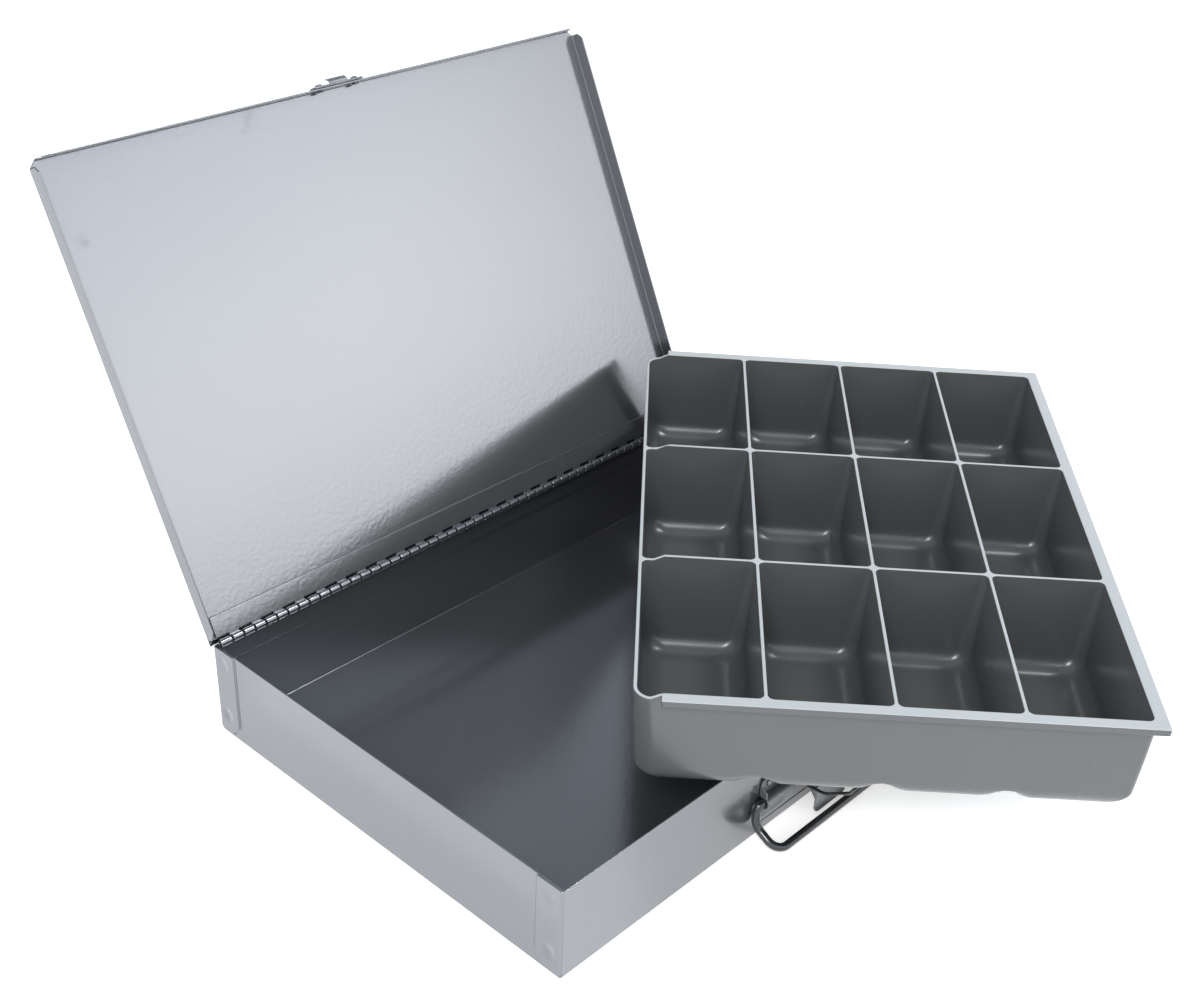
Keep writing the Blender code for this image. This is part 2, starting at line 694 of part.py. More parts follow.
def latch_lever():
    """A channel: front plate with rounded foot, and a cheek on each side round the pin."""
    face = LATCH_PIVOT_STANDOFF - LEVER_FACE_STANDOFF
    top, foot = LEVER_TOP - LATCH_PIVOT_HEIGHT, LEVER_BOTTOM - LATCH_PIVOT_HEIGHT
    cheek_end = LEVER_CHEEK_END - LATCH_PIVOT_HEIGHT
    half = LEVER_WIDTH / 2
    lever = extrusion(
        "latch_lever",
        [rounded(rectangle((-half, foot), (half, top)), [LEVER_CORNER, LEVER_CORNER, 0, 0])],
        LATCH_SHEET, ALONG_Y, (0, face + LATCH_SHEET / 2, 0), PARTS,
    )
    boss = LATCH_EAR_RADIUS + FIT_GAP
    loop = Vector(loop_pivot())
    outline = [(face, top), (face, cheek_end), (loop.x - FIT_GAP, loop.y - boss)]
    outline += arc((0, 0), boss, 315, 450, 6)
    reach = half + CUT
    for side, sign in (("left", -1), ("right", 1)):
        x = sign * (half - LATCH_SHEET / 2)
        cheek = extrusion(f"lever_cheek_{side}", [outline], LATCH_SHEET, ALONG_X, (x, 0, 0), CUTTERS)
        carry(LEVER_PIVOT, cheek)
        boolean(lever, cheek, "UNION")
    bores = [
        rod("pin_bore", LATCH_PIN_RADIUS + FIT_GAP, (-reach, 0, 0), (reach, 0, 0), CUTTERS, 12),
        rod("loop_bore", LOOP_RADIUS + FIT_GAP, (-reach, *loop), (reach, *loop), CUTTERS, 12),
    ]
    bore = joined("lever_bores", bores, CUTTERS)
    carry(LEVER_PIVOT, bore)
    boolean(lever, bore)
    carry(LEVER_PIVOT, lever)
    finish(lever, BRIGHT_STEEL)


def loop_pivot():
    """The loop's axis seen from the lever's pin, as (y, z)."""
    return LATCH_PIVOT_STANDOFF - LOOP_PIVOT_STANDOFF, LOOP_PIVOT_HEIGHT - LATCH_PIVOT_HEIGHT


def latch_loop():
    """A bent wire whose ends turn inward through the lever's cheeks."""
    side = LEVER_WIDTH / 2 + LOOP_SIDE_CLEARANCE + LOOP_RADIUS
    end = LEVER_WIDTH / 2 - LATCH_SHEET - FIT_GAP
    left = [(-end, 0, 0), (-side, 0, 0)]
    left += [(-side, -reach, rise) for reach, rise in (LOOP_ELBOW, LOOP_KNEE, LOOP_TIP)]
    points = left + [(-x, y, z) for x, y, z in reversed(left)]
    bends = [LOOP_END_BEND, *LOOP_BENDS]
    loop = wire("latch_loop", bend_path(points, bends + bends[::-1], 4), LOOP_RADIUS, PARTS, 2)
    pivot = pivot_empty("loop_pivot", (0, *loop_pivot()), PARTS, parent=LEVER_PIVOT)
    carry(pivot, loop)
    finish(loop, BLACK_WIRE, 50)


def loft(name, rings, collection):
    """A closed body through rings of points that correspond one to one."""
    bm = bmesh.new()
    rows = [[bm.verts.new(point) for point in ring] for ring in rings]
    count = len(rows[0])
    for lower, upper in zip(rows, rows[1:]):
        for index in range(count):
            following = (index + 1) % count
            bm.faces.new((lower[index], lower[following], upper[following], upper[index]))
    bm.faces.new(list(reversed(rows[0])))
    bm.faces.new(rows[-1])
    return object_from_bmesh(name, bm, collection)


def ring(low, high, inset, radii, z, steps=3):
    """A rounded rectangle at height z, drawn in from its full size."""
    a = (low[0] + inset, low[1] + inset)
    b = (high[0] - inset, high[1] - inset)
    return [(x, y, z) for x, y in rounded(rectangle(a, b), radii, steps)]


def filleted_body(name, low, high, radii, floor, top, fillet, floor_corner, collection):
    """A drafted body whose floor meets its walls in a fillet, used for cups and the outside."""
    rings = []
    steps = 4
    for step in range(steps + 1):
        angle = math.radians(90 * step / steps)
        z = floor + fillet * (1 - math.cos(angle))
        inset = fillet * (1 - math.sin(angle)) + TRAY_DRAFT * (top - z)
        blend = 1 - step / steps
        grown = [r + blend * max(floor_corner - r, 0) for r in radii]
        rings.append(ring(low, high, inset, grown, z))
    rings.append(ring(low, high, 0, radii, top))
    extra = top + CUT
    if collection == CUTTERS:
        rings.append(ring(low, high, 0, radii, extra))
    return loft(name, rings, collection)


def tray_lines():
    """The divider centre lines: x for the rows and y for the columns, outer walls included."""
    half_width = TRAY_WIDTH / 2 - TRAY_LIP
    front = -TRAY_DEPTH / 2 + TRAY_LIP
    back = TRAY_DEPTH / 2 - TRAY_WALL / 2
    xs = [-half_width + 2 * half_width * i / TRAY_ROWS for i in range(TRAY_ROWS + 1)]
    ys = [front + (back - front) * i / TRAY_COLUMNS for i in range(TRAY_COLUMNS + 1)]
    return xs, ys


def tray_cups(xs, ys):
    cups = []
    wall = TRAY_WALL / 2
    big = HINGE_SIDE_CORNER - TRAY_WALL
    for row in range(TRAY_ROWS):
        for column in range(TRAY_COLUMNS):
            low = (xs[row] + wall, ys[column] + wall)
            high = (xs[row + 1] - wall, ys[column + 1] - wall)
            at_back = column == TRAY_COLUMNS - 1
            right = big if at_back and row == TRAY_ROWS - 1 else CUP_CORNER
            left = big if at_back and row == 0 else CUP_CORNER
            cups.append(
                filleted_body(
                    f"cup_{row}_{column}", low, high, [CUP_CORNER, CUP_CORNER, right, left],
                    TRAY_WALL, TRAY_HEIGHT, CUP_FILLET, CUP_FLOOR_CORNER, CUTTERS,
                )
            )
    return joined("tray_cups", cups, CUTTERS)


def groove_outline():
    """The hollow under a divider, following the cups' round bottoms one wall thickness away."""
    centre_z = TRAY_WALL + CUP_FILLET
    centre = TRAY_WALL / 2 + TRAY_DRAFT * (TRAY_HEIGHT - centre_z) + CUP_FILLET
    flank = arc((centre, centre_z), CUP_FILLET + TRAY_WALL, 262, 186, 5)
    apex = centre_z + 0.3 * TRAY_HEIGHT
    right = [(centre, -CUT)] + flank + [(0.0002, apex)]
    return right + [(-d, z) for d, z in reversed(right)]


def tray_grooves(name, lines, frame, length):
    grooves = []
    for index, line in enumerate(lines):
        outline = [(line + d, z) for d, z in groove_outline()]
        grooves.append(extrusion(f"{name}_{index}", [outline], length, frame, (0, 0, 0), CUTTERS))
    return joined(name, grooves, CUTTERS)


def tray():
    """One moulding: twelve round-bottomed cups, a lip on three sides, a lowered hinge side."""
    xs, ys = tray_lines()
    wall = TRAY_WALL / 2
    low, high = (xs[0] - wall, ys[0] - wall), (xs[-1] + wall, ys[-1] + wall)
    corners = [CUP_CORNER, CUP_CORNER, HINGE_SIDE_CORNER, HINGE_SIDE_CORNER]
    body = filleted_body(
        "tray", low, high, corners, 0, TRAY_HEIGHT, CUP_FILLET + TRAY_WALL,
        CUP_FLOOR_CORNER + TRAY_WALL, PARTS,
    )
    strip_start = ys[-1] - HINGE_STRIP_WIDTH
    outer = (-TRAY_WIDTH / 2, -TRAY_DEPTH / 2)
    lip = block(
        "tray_lip", (*outer, TRAY_HEIGHT - TRAY_SKIRT), (-outer[0], strip_start, TRAY_HEIGHT), CUTTERS
    )
    skirt = TRAY_SKIRT_WALL
    hollow = block(
        "lip_hollow",
        (outer[0] + skirt, outer[1] + skirt, -CUT),
        (-outer[0] - skirt, strip_start + CUT, TRAY_HEIGHT - TRAY_WALL),
        CUTTERS,
    )
    boolean(lip, hollow)
    strip = block(
        "hinge_strip",
        (outer[0] - CUT, strip_start, TRAY_HEIGHT - HINGE_STRIP_DROP),
        (-outer[0] + CUT, -outer[1] + CUT, TRAY_HEIGHT + 2 * CUT),
        CUTTERS,
    )
    across = tray_grooves("grooves_across", xs[1:-1], ALONG_Y, 2 * TRAY_DEPTH)
    along = tray_grooves("grooves_along", ys[1:-1], ALONG_X, 2 * TRAY_WIDTH)
    boolean(body, lip, "UNION")
    for cutter in (tray_cups(xs, ys), strip, across, along):
        boolean(body, cutter)
    seat = pivot_empty(
        "tray_seat", (*TRAY_CENTRE, BODY_HEIGHT + FIT_GAP), PARTS, (0, 0, TRAY_TURN)
    )
    for piece in (body, lip, hollow, strip, across, along, CUTTERS.objects["tray_cups"]):
        carry(seat, piece)
    finish(body, TRAY_PLASTIC, 40)


for leftover in list(bpy.data.objects):
    bpy.data.objects.remove(leftover)

PARTS = new_collection("metal_tool_box")
CUTTERS = new_collection("cutters")
CUTTERS.hide_render = True

PAINT = material("grey_paint", (0.30, 0.31, 0.32), 0.38, 0.0)
BRIGHT_STEEL = material("plated_steel", (0.42, 0.43, 0.44), 0.35, 0.9)
BLACK_WIRE = material("black_wire", (0.012, 0.013, 0.014), 0.30, 0.0)
TRAY_PLASTIC = material("grey_plastic", (0.16, 0.175, 0.175), 0.36, 0.0)

LID_PIVOT = pivot_empty("lid_pivot", (0, HINGE_Y, HINGE_Z), PARTS, (-LID_OPEN_ANGLE, 0, 0))
LEVER_PIVOT = pivot_empty("lever_pivot", (0, FRONT - LATCH_PIVOT_STANDOFF, LATCH_PIVOT_HEIGHT), PARTS)

body_shell()
hinge()
lid_panel()
lid_catch()
handle_bracket("left", -1)
handle_bracket("right", 1)
handle_bail()
latch_base()
latch_lever()
latch_loop()
tray()
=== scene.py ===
"""Visual model of the low steel tool box with its lift-out twelve-cup tray.

Every length is in metres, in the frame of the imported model: the origin is the centre of the
body's flat bottom, +X runs right along the front and +Y runs back to the hinge.
"""

import json
import math

import bmesh
import bpy
from mathutils import Matrix, Vector, geometry

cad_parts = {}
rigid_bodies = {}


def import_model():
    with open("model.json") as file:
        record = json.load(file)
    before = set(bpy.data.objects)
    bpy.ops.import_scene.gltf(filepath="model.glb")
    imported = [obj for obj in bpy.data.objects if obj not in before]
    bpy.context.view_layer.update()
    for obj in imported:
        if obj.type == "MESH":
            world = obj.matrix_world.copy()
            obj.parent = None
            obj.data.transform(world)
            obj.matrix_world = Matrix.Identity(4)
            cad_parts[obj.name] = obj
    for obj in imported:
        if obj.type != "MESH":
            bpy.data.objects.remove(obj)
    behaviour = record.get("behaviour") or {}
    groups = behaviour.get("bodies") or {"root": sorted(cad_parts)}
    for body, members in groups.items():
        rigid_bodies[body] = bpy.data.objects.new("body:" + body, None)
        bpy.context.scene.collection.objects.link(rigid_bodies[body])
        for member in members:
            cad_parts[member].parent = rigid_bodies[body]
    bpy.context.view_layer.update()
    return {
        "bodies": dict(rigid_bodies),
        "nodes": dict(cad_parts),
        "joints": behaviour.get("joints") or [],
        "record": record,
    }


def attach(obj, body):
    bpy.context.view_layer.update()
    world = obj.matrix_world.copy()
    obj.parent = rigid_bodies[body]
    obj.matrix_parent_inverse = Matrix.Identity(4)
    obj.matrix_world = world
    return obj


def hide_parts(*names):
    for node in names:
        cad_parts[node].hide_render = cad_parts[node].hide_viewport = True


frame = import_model()

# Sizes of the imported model
BODY_WIDTH = 0.3397
BODY_DEPTH = 0.2350
BODY_HEIGHT = 0.0508
SHEET = 0.0009
FOLD_RADIUS = 0.0015
TAB_LENGTH = 0.0152
TAB_FOOT = 0.0025
TAB_CHAMFER = 0.0055
TAB_ROUND = 0.0030
NAME_BAR = (0.0710, 0.0046, 0.0003)
NAME_BAR_HEIGHT = 0.0041
NAME_BAR_CORNER = 0.0008
FIT_GAP = 0.0003
KNUCKLE_RADIUS = 0.0020
LEAF_THICKNESS = 0.0008
LEAF_WIDTH = 0.0132
KNUCKLE_COUNT = 51
KNUCKLE_NOTCH = 0.0009
KNUCKLE_GAP = 0.0009
HINGE_PIN_RADIUS = 0.0009
LID_OPEN_ANGLE = math.radians(116.5)
LID_FLANGE = 0.0080
LID_CORNER_CHAMFER = 0.0042
FLANGE_END_SLANT = 0.0110
FLANGE_FRONT_SLANT = 0.7 * FLANGE_END_SLANT
WIRE_RADIUS = 0.0021
HANDLE_HALF_SPAN = 0.0436
HANDLE_SIDE = [(0, 0), (0, -0.0112), (-0.0143, -0.0190)]
HANDLE_BENDS = [0.0042, 0.0080, 0.0070]
HANDLE_PIVOT = Vector((0, -0.1200, 0.0218))
BRACKET_WIDTH = 0.0205
BRACKET_MIDDLE = 0.02935
BRACKET_SHEET = 0.0010
BRACKET_TOP = 0.0345
BRACKET_BOTTOM = 0.0103
BRACKET_CORNER = 0.0040
BRACKET_EAR_DEPTH = 0.0030
CHANNEL_GAP = 0.0004
BRACKET_RIVETS = 0.0100
BRACKET_RIVET_HEIGHT = 0.0305
LEVER_PIVOT = Vector((0, -0.1245, 0.0250))
LATCH_PIN_RADIUS = 0.0011
LATCH_SHEET = 0.0010
LATCH_BASE_TOP = 0.0385
LATCH_BASE_BOTTOM = 0.0190
LATCH_BASE_WIDTH = 0.0214
LATCH_BASE_CORNER = 0.0030
LATCH_EAR_RADIUS = 0.0026
LATCH_RIVET_HEIGHT = 0.0345
LATCH_RIVETS = 0.0110
LEVER_WIDTH = 0.0250
LEVER_TOP = 0.0280
LEVER_BOTTOM = 0.0055
LEVER_CHEEK_END = 0.0130
LEVER_CORNER = 0.0038
LEVER_FACE = -0.0071
LOOP_RADIUS = 0.00085
LOOP_OFFSET = (-0.0025, -0.0037)
LOOP_POINTS = [(0.0095, 0.0007), (0.0230, 0.0095), (0.0250, 0.0130)]
LOOP_BENDS = [1.2 * LOOP_RADIUS, 0.0110, 0.0028, 0.0020]
LOOP_SIDE_GAP = 0.0007
CATCH_WIDTH = 0.0310
CATCH_HEIGHT = 0.0062
CATCH_SHEET = 0.0010
CATCH_DROP = 0.0009
HOOK_WIDTH = 0.0114
HOOK_RADIUS = 0.0033
HOOK_SHEET = 0.8 * CATCH_SHEET
CATCH_RIVETS = 0.0225
RIVET_RADIUS = 0.0011
RIVET_HEAD_RADIUS = 0.0020
RIVET_HEAD_HEIGHT = 0.0008
TRAY_WIDTH = 0.3350
TRAY_DEPTH = 0.2274
TRAY_HEIGHT = 0.0525
TRAY_ROWS = 3
TRAY_COLUMNS = 4
TRAY_WALL = 0.0016
TRAY_LIP = 0.0052
TRAY_SKIRT = 0.0034
TRAY_SKIRT_WALL = 0.0014
TRAY_DRAFT = math.tan(math.radians(2.5))
CUP_CORNER = 0.0030
CUP_FLOOR_CORNER = 0.0080
CUP_FILLET = 0.0095
HINGE_SIDE_CORNER = 0.0090
HINGE_STRIP_WIDTH = 0.0114
HINGE_STRIP_DROP = 0.0025
TRAY_PLACE = Vector((0.0937, -0.0702, 0.0511))
TRAY_TURN = math.radians(41.1)

FRONT = -BODY_DEPTH / 2
HINGE = Vector((0, 0.1143, 0.0523))
HINGE_LENGTH = 0.3355

# What only the visual model has: rolled edges, weld marks, and how far a cutter stands proud
CUT = 0.0010
CUT_THROUGH = 0.0200
RIM = 0.00040
SHEET_EDGE = 0.00030
PIN_EDGE = 0.00025
SMALL_EDGE = 0.00015
BAR_EDGE = 0.00010
BEVEL_ANGLE = math.radians(42)
MERGE = 0.000001
SEAM = 0.00045
SEAM_SHIFT = 0.00011
DENT_RADIUS = 0.0046
DENT_DEPTH = 0.00070
DENT_LIP = 0.00002
DENT_STRETCH = 1.2
DENT_HEIGHTS = (0.0125, 0.0425)
DENT_INSET = 0.46

# A wire's cut end: how far past the path each ring lies and its share of the radius, both in radii
WIRE_END = [(0.18, 0.35), (0.12, 0.72), (0.0, 0.92), (-0.28, 1.0)]

# Light: the room's strength in the bright band round the walls and overhead
ROOM_WALLS = 3.3
ROOM_CEILING = 0.85
LAMP_SIZE = 0.40
LAMP_TARGET = Vector((0.05, 0.0, 0.05))
FLOOR_HALF = 6.0
FLOOR_DROP = 0.0002

LID_TURN = Matrix.Translation(HINGE) @ Matrix.Rotation(-LID_OPEN_ANGLE, 4, "X")
LEVER_TURN = Matrix.Translation(LEVER_PIVOT)
TRAY_SEAT = Matrix.Translation(TRAY_PLACE) @ Matrix.Rotation(TRAY_TURN, 4, "Z")


# ---------------------------------------------------------------- mesh helpers
def link(name, data):
    made = bpy.data.objects.new(name, data)
    bpy.context.scene.collection.objects.link(made)
    return made


def from_bmesh(name, bm, outward=True):
    if outward:
        bmesh.ops.recalc_face_normals(bm, faces=bm.faces)
    mesh = bpy.data.meshes.new(name)
    bm.to_mesh(mesh)
    bm.free()
    return link(name, mesh)


def settle(obj):
    """Replaces an object's mesh by what its modifiers make of it."""
    bpy.context.view_layer.update()
    graph = bpy.context.evaluated_depsgraph_get()
    mesh = bpy.data.meshes.new_from_object(obj.evaluated_get(graph))
    obj.modifiers.clear()
    obj.data = mesh
    return obj


def block(name, low, high, chosen=None, radius=0.0, segments=3):
    """A box between two corners; chosen picks the edges that are rounded."""
    bm = bmesh.new()
    bmesh.ops.create_cube(bm, size=1.0)
    bmesh.ops.scale(bm, vec=[b - a for a, b in zip(low, high)], verts=bm.verts)
    bmesh.ops.translate(bm, vec=[(a + b) / 2 for a, b in zip(low, high)], verts=bm.verts)
    if chosen:
        edges = [edge for edge in bm.edges if chosen(edge)]
        bmesh.ops.bevel(
            bm, geom=edges, offset=radius, segments=segments, profile=0.5, affect="EDGES"
        )
    return from_bmesh(name, bm)


def rod(name, radius, start, end, sides=24):
    start, end = Vector(start), Vector(end)
    bm = bmesh.new()
    bmesh.ops.create_cone(
        bm, cap_ends=True, segments=sides, radius1=radius, radius2=radius,
        depth=(end - start).length,
    )
    turn = Vector((0, 0, 1)).rotation_difference(end - start).to_matrix().to_4x4()
    bmesh.ops.transform(bm, matrix=Matrix.Translation((start + end) / 2) @ turn, verts=bm.verts)
    return from_bmesh(name, bm)


def arc(centre, radius, first, last, steps):
    angles = [math.radians(first + (last - first) * i / steps) for i in range(steps + 1)]
    return [(centre[0] + radius * math.cos(a), centre[1] + radius * math.sin(a)) for a in angles]


def corner_arc(previous, corner, following, radius, steps):
    """The points of the arc that rounds one corner of a path."""
    before = (previous - corner).normalized()
    after = (following - corner).normalized()
    half = before.angle(after) / 2
    start = corner + before * radius / math.tan(half)
    end = corner + after * radius / math.tan(half)
    centre = corner + (before + after).normalized() * radius / math.sin(half)
    spokes = [(start - centre).lerp(end - centre, i / steps) for i in range(steps + 1)]
    return [centre + spoke.normalized() * radius for spoke in spokes]


def rounded(points, radii, steps=8):
    """A closed flat outline with each corner rounded by its own radius."""
    corners = [Vector(point) for point in points]
    result = []
    for index, (corner, radius) in enumerate(zip(corners, radii)):
        if radius > 0:
            following = corners[(index + 1) % len(corners)]
            result += corner_arc(corners[index - 1], corner, following, radius, steps)
        else:
            result.append(corner)
    return [tuple(point) for point in result]


def bend_path(points, radii, steps=12):
    """A path in space with each inner corner replaced by an arc of its own radius."""
    points = [Vector(point) for point in points]
    path = [points[0]]
    for previous, corner, following, radius in zip(points, points[1:], points[2:], radii):
        path += corner_arc(previous, corner, following, radius, steps)
    return path + [points[-1]]


def rectangle(low, high):
    return [(low[0], low[1]), (high[0], low[1]), (high[0], high[1]), (low[0], high[1])]


ALONG_X = Matrix(((0, 0, 1, 0), (1, 0, 0, 0), (0, 1, 0, 0), (0, 0, 0, 1)))
ALONG_Y = Matrix(((1, 0, 0, 0), (0, 0, -1, 0), (0, 1, 0, 0), (0, 0, 0, 1)))
ALONG_Z = Matrix()


def loft_rows(bm, rows):
    """Faces between closed rows of vertices that correspond one to one."""
    for lower, upper in zip(rows, rows[1:]):
        count = len(lower)
        for i in range(count):
            j = (i + 1) % count
            bm.faces.new((lower[i], lower[j], upper[j], upper[i]))


def spun(profile, axis, steps):
    """An open line of points spun into a solid round an axis through the origin."""
    bm = bmesh.new()
    rim = [bm.verts.new(point) for point in profile]
    edges = [bm.edges.new(pair) for pair in zip(rim, rim[1:])]
    bmesh.ops.spin(
        bm, geom=rim + edges, axis=axis, cent=(0, 0, 0), angle=math.tau, steps=steps, use_merge=True
    )
    bmesh.ops.remove_doubles(bm, verts=bm.verts, dist=MERGE)
    return bm


def plate(name, outline, thickness, axes, centre=(0, 0, 0)):
    """A flat outline given a thickness along the frame's own third axis."""
    bm = bmesh.new()
    rows = [[bm.verts.new((u, v, side * thickness / 2)) for u, v in outline] for side in (-1, 1)]
    loft_rows(bm, rows)
    bm.faces.new(rows[0][::-1])
    bm.faces.new(rows[1])
    bmesh.ops.transform(bm, matrix=Matrix.Translation(centre) @ axes, verts=bm.verts)
    return from_bmesh(name, bm)


def wire(name, path, radius, sides):
    """A round wire along a path, with slightly domed, cut-off ends."""
    last = len(path) - 1
    tangents = [(path[min(i + 1, last)] - path[max(i - 1, 0)]).normalized() for i in range(last + 1)]
    side = tangents[0].orthogonal().normalized()
    frames = []
    for point, tangent in zip(path, tangents):
        side = (side - tangent * side.dot(tangent)).normalized()
        frames.append((point, side, tangent.cross(side), tangent))
    point, side, other, tangent = frames[0]
    rows = [(point - tangent * radius * past, side, other, share) for past, share in WIRE_END]
    rows += [(*frame[:3], 1.0) for frame in frames[1:-1]]
    point, side, other, tangent = frames[-1]
    rows += [(point + tangent * radius * past, side, other, share) for past, share in WIRE_END[::-1]]
    bm = bmesh.new()
    angles = [math.tau * k / sides for k in range(sides)]
    loops = [
        [bm.verts.new(p + (s * math.cos(a) + o * math.sin(a)) * radius * share) for a in angles]
        for p, s, o, share in rows
    ]
    loft_rows(bm, loops)
    bm.faces.new(loops[0][::-1])
    bm.faces.new(loops[-1])
    made = from_bmesh(name, bm)
    made.data.shade_smooth()
    return made


def cut(target, others, operation="DIFFERENCE"):
    """Booleans applied at once; the tools are removed."""
    for index, other in enumerate(others):
        modifier = target.modifiers.new(f"cut_{index}", "BOOLEAN")
        modifier.operation = operation
        modifier.solver = "EXACT"
        modifier.object = other
    settle(target)
    for other in others:
        bpy.data.objects.remove(other)
    return target


def joined(name, pieces):
    bm = bmesh.new()
    for piece in pieces:
        bm.from_mesh(piece.data)
        bpy.data.objects.remove(piece)
    return from_bmesh(name, bm)


def soften(obj, width, segments=2):
    """Rolls every hard edge over and keeps the flat faces flat."""
    obj.data.shade_smooth()
    if width:
        bevel = obj.modifiers.new("edges", "BEVEL")
        bevel.width = width
        bevel.segments = segments
        bevel.limit_method = "ANGLE"
        bevel.angle_limit = BEVEL_ANGLE
        bevel.use_clamp_overlap = False
        bevel.miter_outer = "MITER_ARC"
    normals = obj.modifiers.new("normals", "WEIGHTED_NORMAL")
    normals.weight = 80
    normals.keep_sharp = False
    return settle(obj)


def place(obj, matrix):
    obj.data.transform(matrix)
    return obj


def show(obj, body, node, finishes):
    """Puts a finished piece on its body, in place of its CAD node."""
    for finish in finishes:
        obj.data.materials.append(finish)
    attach(obj, body)
    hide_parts(node)


# ---------------------------------------------------------------- materials
class Tree:
    """Short hand for wiring a tree of shader nodes, all read from one set of coordinates."""

    def __init__(self, tree, coordinates):
        self.tree = tree
        self.coordinates = self.add("ShaderNodeTexCoord").outputs[coordinates]

    def add(self, kind, **inputs):
        node = self.tree.nodes.new(kind)
        for key, value in inputs.items():
            self.feed(node.inputs[key.replace("_", " ")], value)
        return node

    def feed(self, socket, value):
        if isinstance(value, bpy.types.NodeSocket):
            self.tree.links.new(value, socket)
        else:
            socket.default_value = value

    def noise(self, scale, detail, rough=0.5, stretch=None):
        source = self.coordinates
        if stretch:
            source = self.add("ShaderNodeMapping", Vector=source, Scale=stretch).outputs["Vector"]
        node = self.add("ShaderNodeTexNoise", Vector=source, Scale=scale, Detail=detail, Roughness=rough)
        return node.outputs["Fac"]

    def ramp(self, value, low, high, start=0.0, end=1.0):
        """Eases from start at the low value to end at the high one."""
        limits = {"From_Min": low, "From_Max": high, "To_Min": start, "To_Max": end}
        node = self.add("ShaderNodeMapRange", Value=value, **limits)
        node.interpolation_type = "SMOOTHSTEP"
        return node.outputs["Result"]

    def math(self, operation, a, b):
        node = self.tree.nodes.new("ShaderNodeMath")
        node.operation = operation
        self.feed(node.inputs[0], a)
        self.feed(node.inputs[1], b)
        return node.outputs[0]

    def vector(self, operation, a, b, output="Value"):
        node = self.tree.nodes.new("ShaderNodeVectorMath")
        node.operation = operation
        self.feed(node.inputs[0], a)
        self.feed(node.inputs[1], b)
        return node.outputs[output]

    def mix(self, factor, a, b):
        node = self.tree.nodes.new("ShaderNodeMix")
        node.data_type = "RGBA"
        for index, value in ((0, factor), (6, a), (7, b)):
            self.feed(node.inputs[index], value)
        return node.outputs[2]

    def bump(self, height, strength, distance, normal=None):
        node = self.add("ShaderNodeBump", Height=height, Strength=strength, Distance=distance)
        if normal is not None:
            self.feed(node.inputs["Normal"], normal)
        return node.outputs["Normal"]


class Surface(Tree):
    """A material, wired into its Principled shader from the object's own coordinates."""

    def __init__(self, name):
        self.material = bpy.data.materials.new(name)
        self.material.use_nodes = True
        super().__init__(self.material.node_tree, "Object")
        self.shader = self.tree.nodes["Principled BSDF"]

    def near(self, point, radius, soft, source=None):
        """1 inside a ball about a point, fading to 0 over the soft distance."""
        away = self.vector("DISTANCE", source or self.coordinates, point)
        return self.ramp(away, radius, radius + soft, 1.0, 0.0)

    def set(self, **values):
        for key, value in values.items():
            self.feed(self.shader.inputs[key.replace("_", " ")], value)


def grey(value):
    """A grey with the enamel's faint blue cast."""
    return (value, value * 1.024, value * 1.068, 1.0)


# Painted shade: the lid's paint is darkened round the hinge's axis, standing in for the shadow inside
# the knuckles' notches
SLOT_SHADE_REACH = 0.0034
SLOT_SHADE_FADE = 0.0002
SLOT_SHADE_TONE = 0.012
LID_SMUDGES = [((-0.0580, 0.2162, 0.2576), 0.0080), ((-0.1590, 0.2013, 0.2271), 0.0045)]


def painted_steel(name, tone, smudges=(), painted_slot_shade=False):
    """Baked grey enamel: orange peel, haze and specks, finger smudges, and, where asked, painted shade
    round the hinge's axis for the shadow in the knuckles' notches.
    """
    n = Surface(name)
    haze = n.noise(9.0, 3.0, 0.55)
    cloud = n.noise(60.0, 3.0, 0.6) if smudges else None
    colour = n.mix(haze, grey(tone * 0.96), grey(tone * 1.04))
    speck = n.ramp(n.noise(1100.0, 1.0, 0.4), 0.68, 0.80, 0.0, 0.25)
    colour = n.mix(speck, colour, grey(tone * 0.75))
    rough = n.math("ADD", n.math("MULTIPLY", haze, 0.03), 0.16)
    for point, radius in smudges:
        broken = n.ramp(cloud, 0.42, 0.60)
        mask = n.math("MULTIPLY", n.near(point, radius * 0.3, radius), broken)
        rough = n.math("ADD", rough, n.math("MULTIPLY", mask, 0.12))
        colour = n.mix(n.math("MULTIPLY", mask, 0.35), colour, grey(tone * 0.78))
    if painted_slot_shade:
        # painted shade: paint near the hinge's axis is mixed to near black, for the shadow seen through
        # the knuckles' notches
        across = n.vector("MULTIPLY", n.coordinates, (0, 1, 1), "Vector")
        colour = n.mix(n.near(HINGE, SLOT_SHADE_REACH, SLOT_SHADE_FADE, across), colour, grey(SLOT_SHADE_TONE))
    normal = n.bump(n.noise(14.0, 1.0, 0.4), 0.12, 0.0010)
    normal = n.bump(n.noise(430.0, 2.0), 0.20, 0.00018, normal)
    n.set(Base_Color=colour, Roughness=rough, Normal=normal)
    n.set(Metallic=0.85, Specular_IOR_Level=0.5, Coat_Weight=0.2, Coat_Roughness=0.14)
    return n.material


def plated_steel(name, tone):
    """Dull bright plating with fine rolling lines and darker specks."""
    n = Surface(name)
    lines = n.noise(60.0, 3.0, 0.6, (6.0, 1.0, 40.0))
    mottle = n.noise(260.0, 3.0, 0.55)
    colour = n.mix(n.ramp(mottle, 0.35, 0.7), grey(tone * 0.88), grey(tone * 1.1))
    rough = n.math("ADD", n.ramp(lines, 0.3, 0.7, -0.05, 0.07), 0.36)
    normal = n.bump(lines, 0.10, 0.00006)
    normal = n.bump(mottle, 0.12, 0.00008, normal)
    n.set(Base_Color=colour, Roughness=rough, Normal=normal, Metallic=0.85)
    return n.material


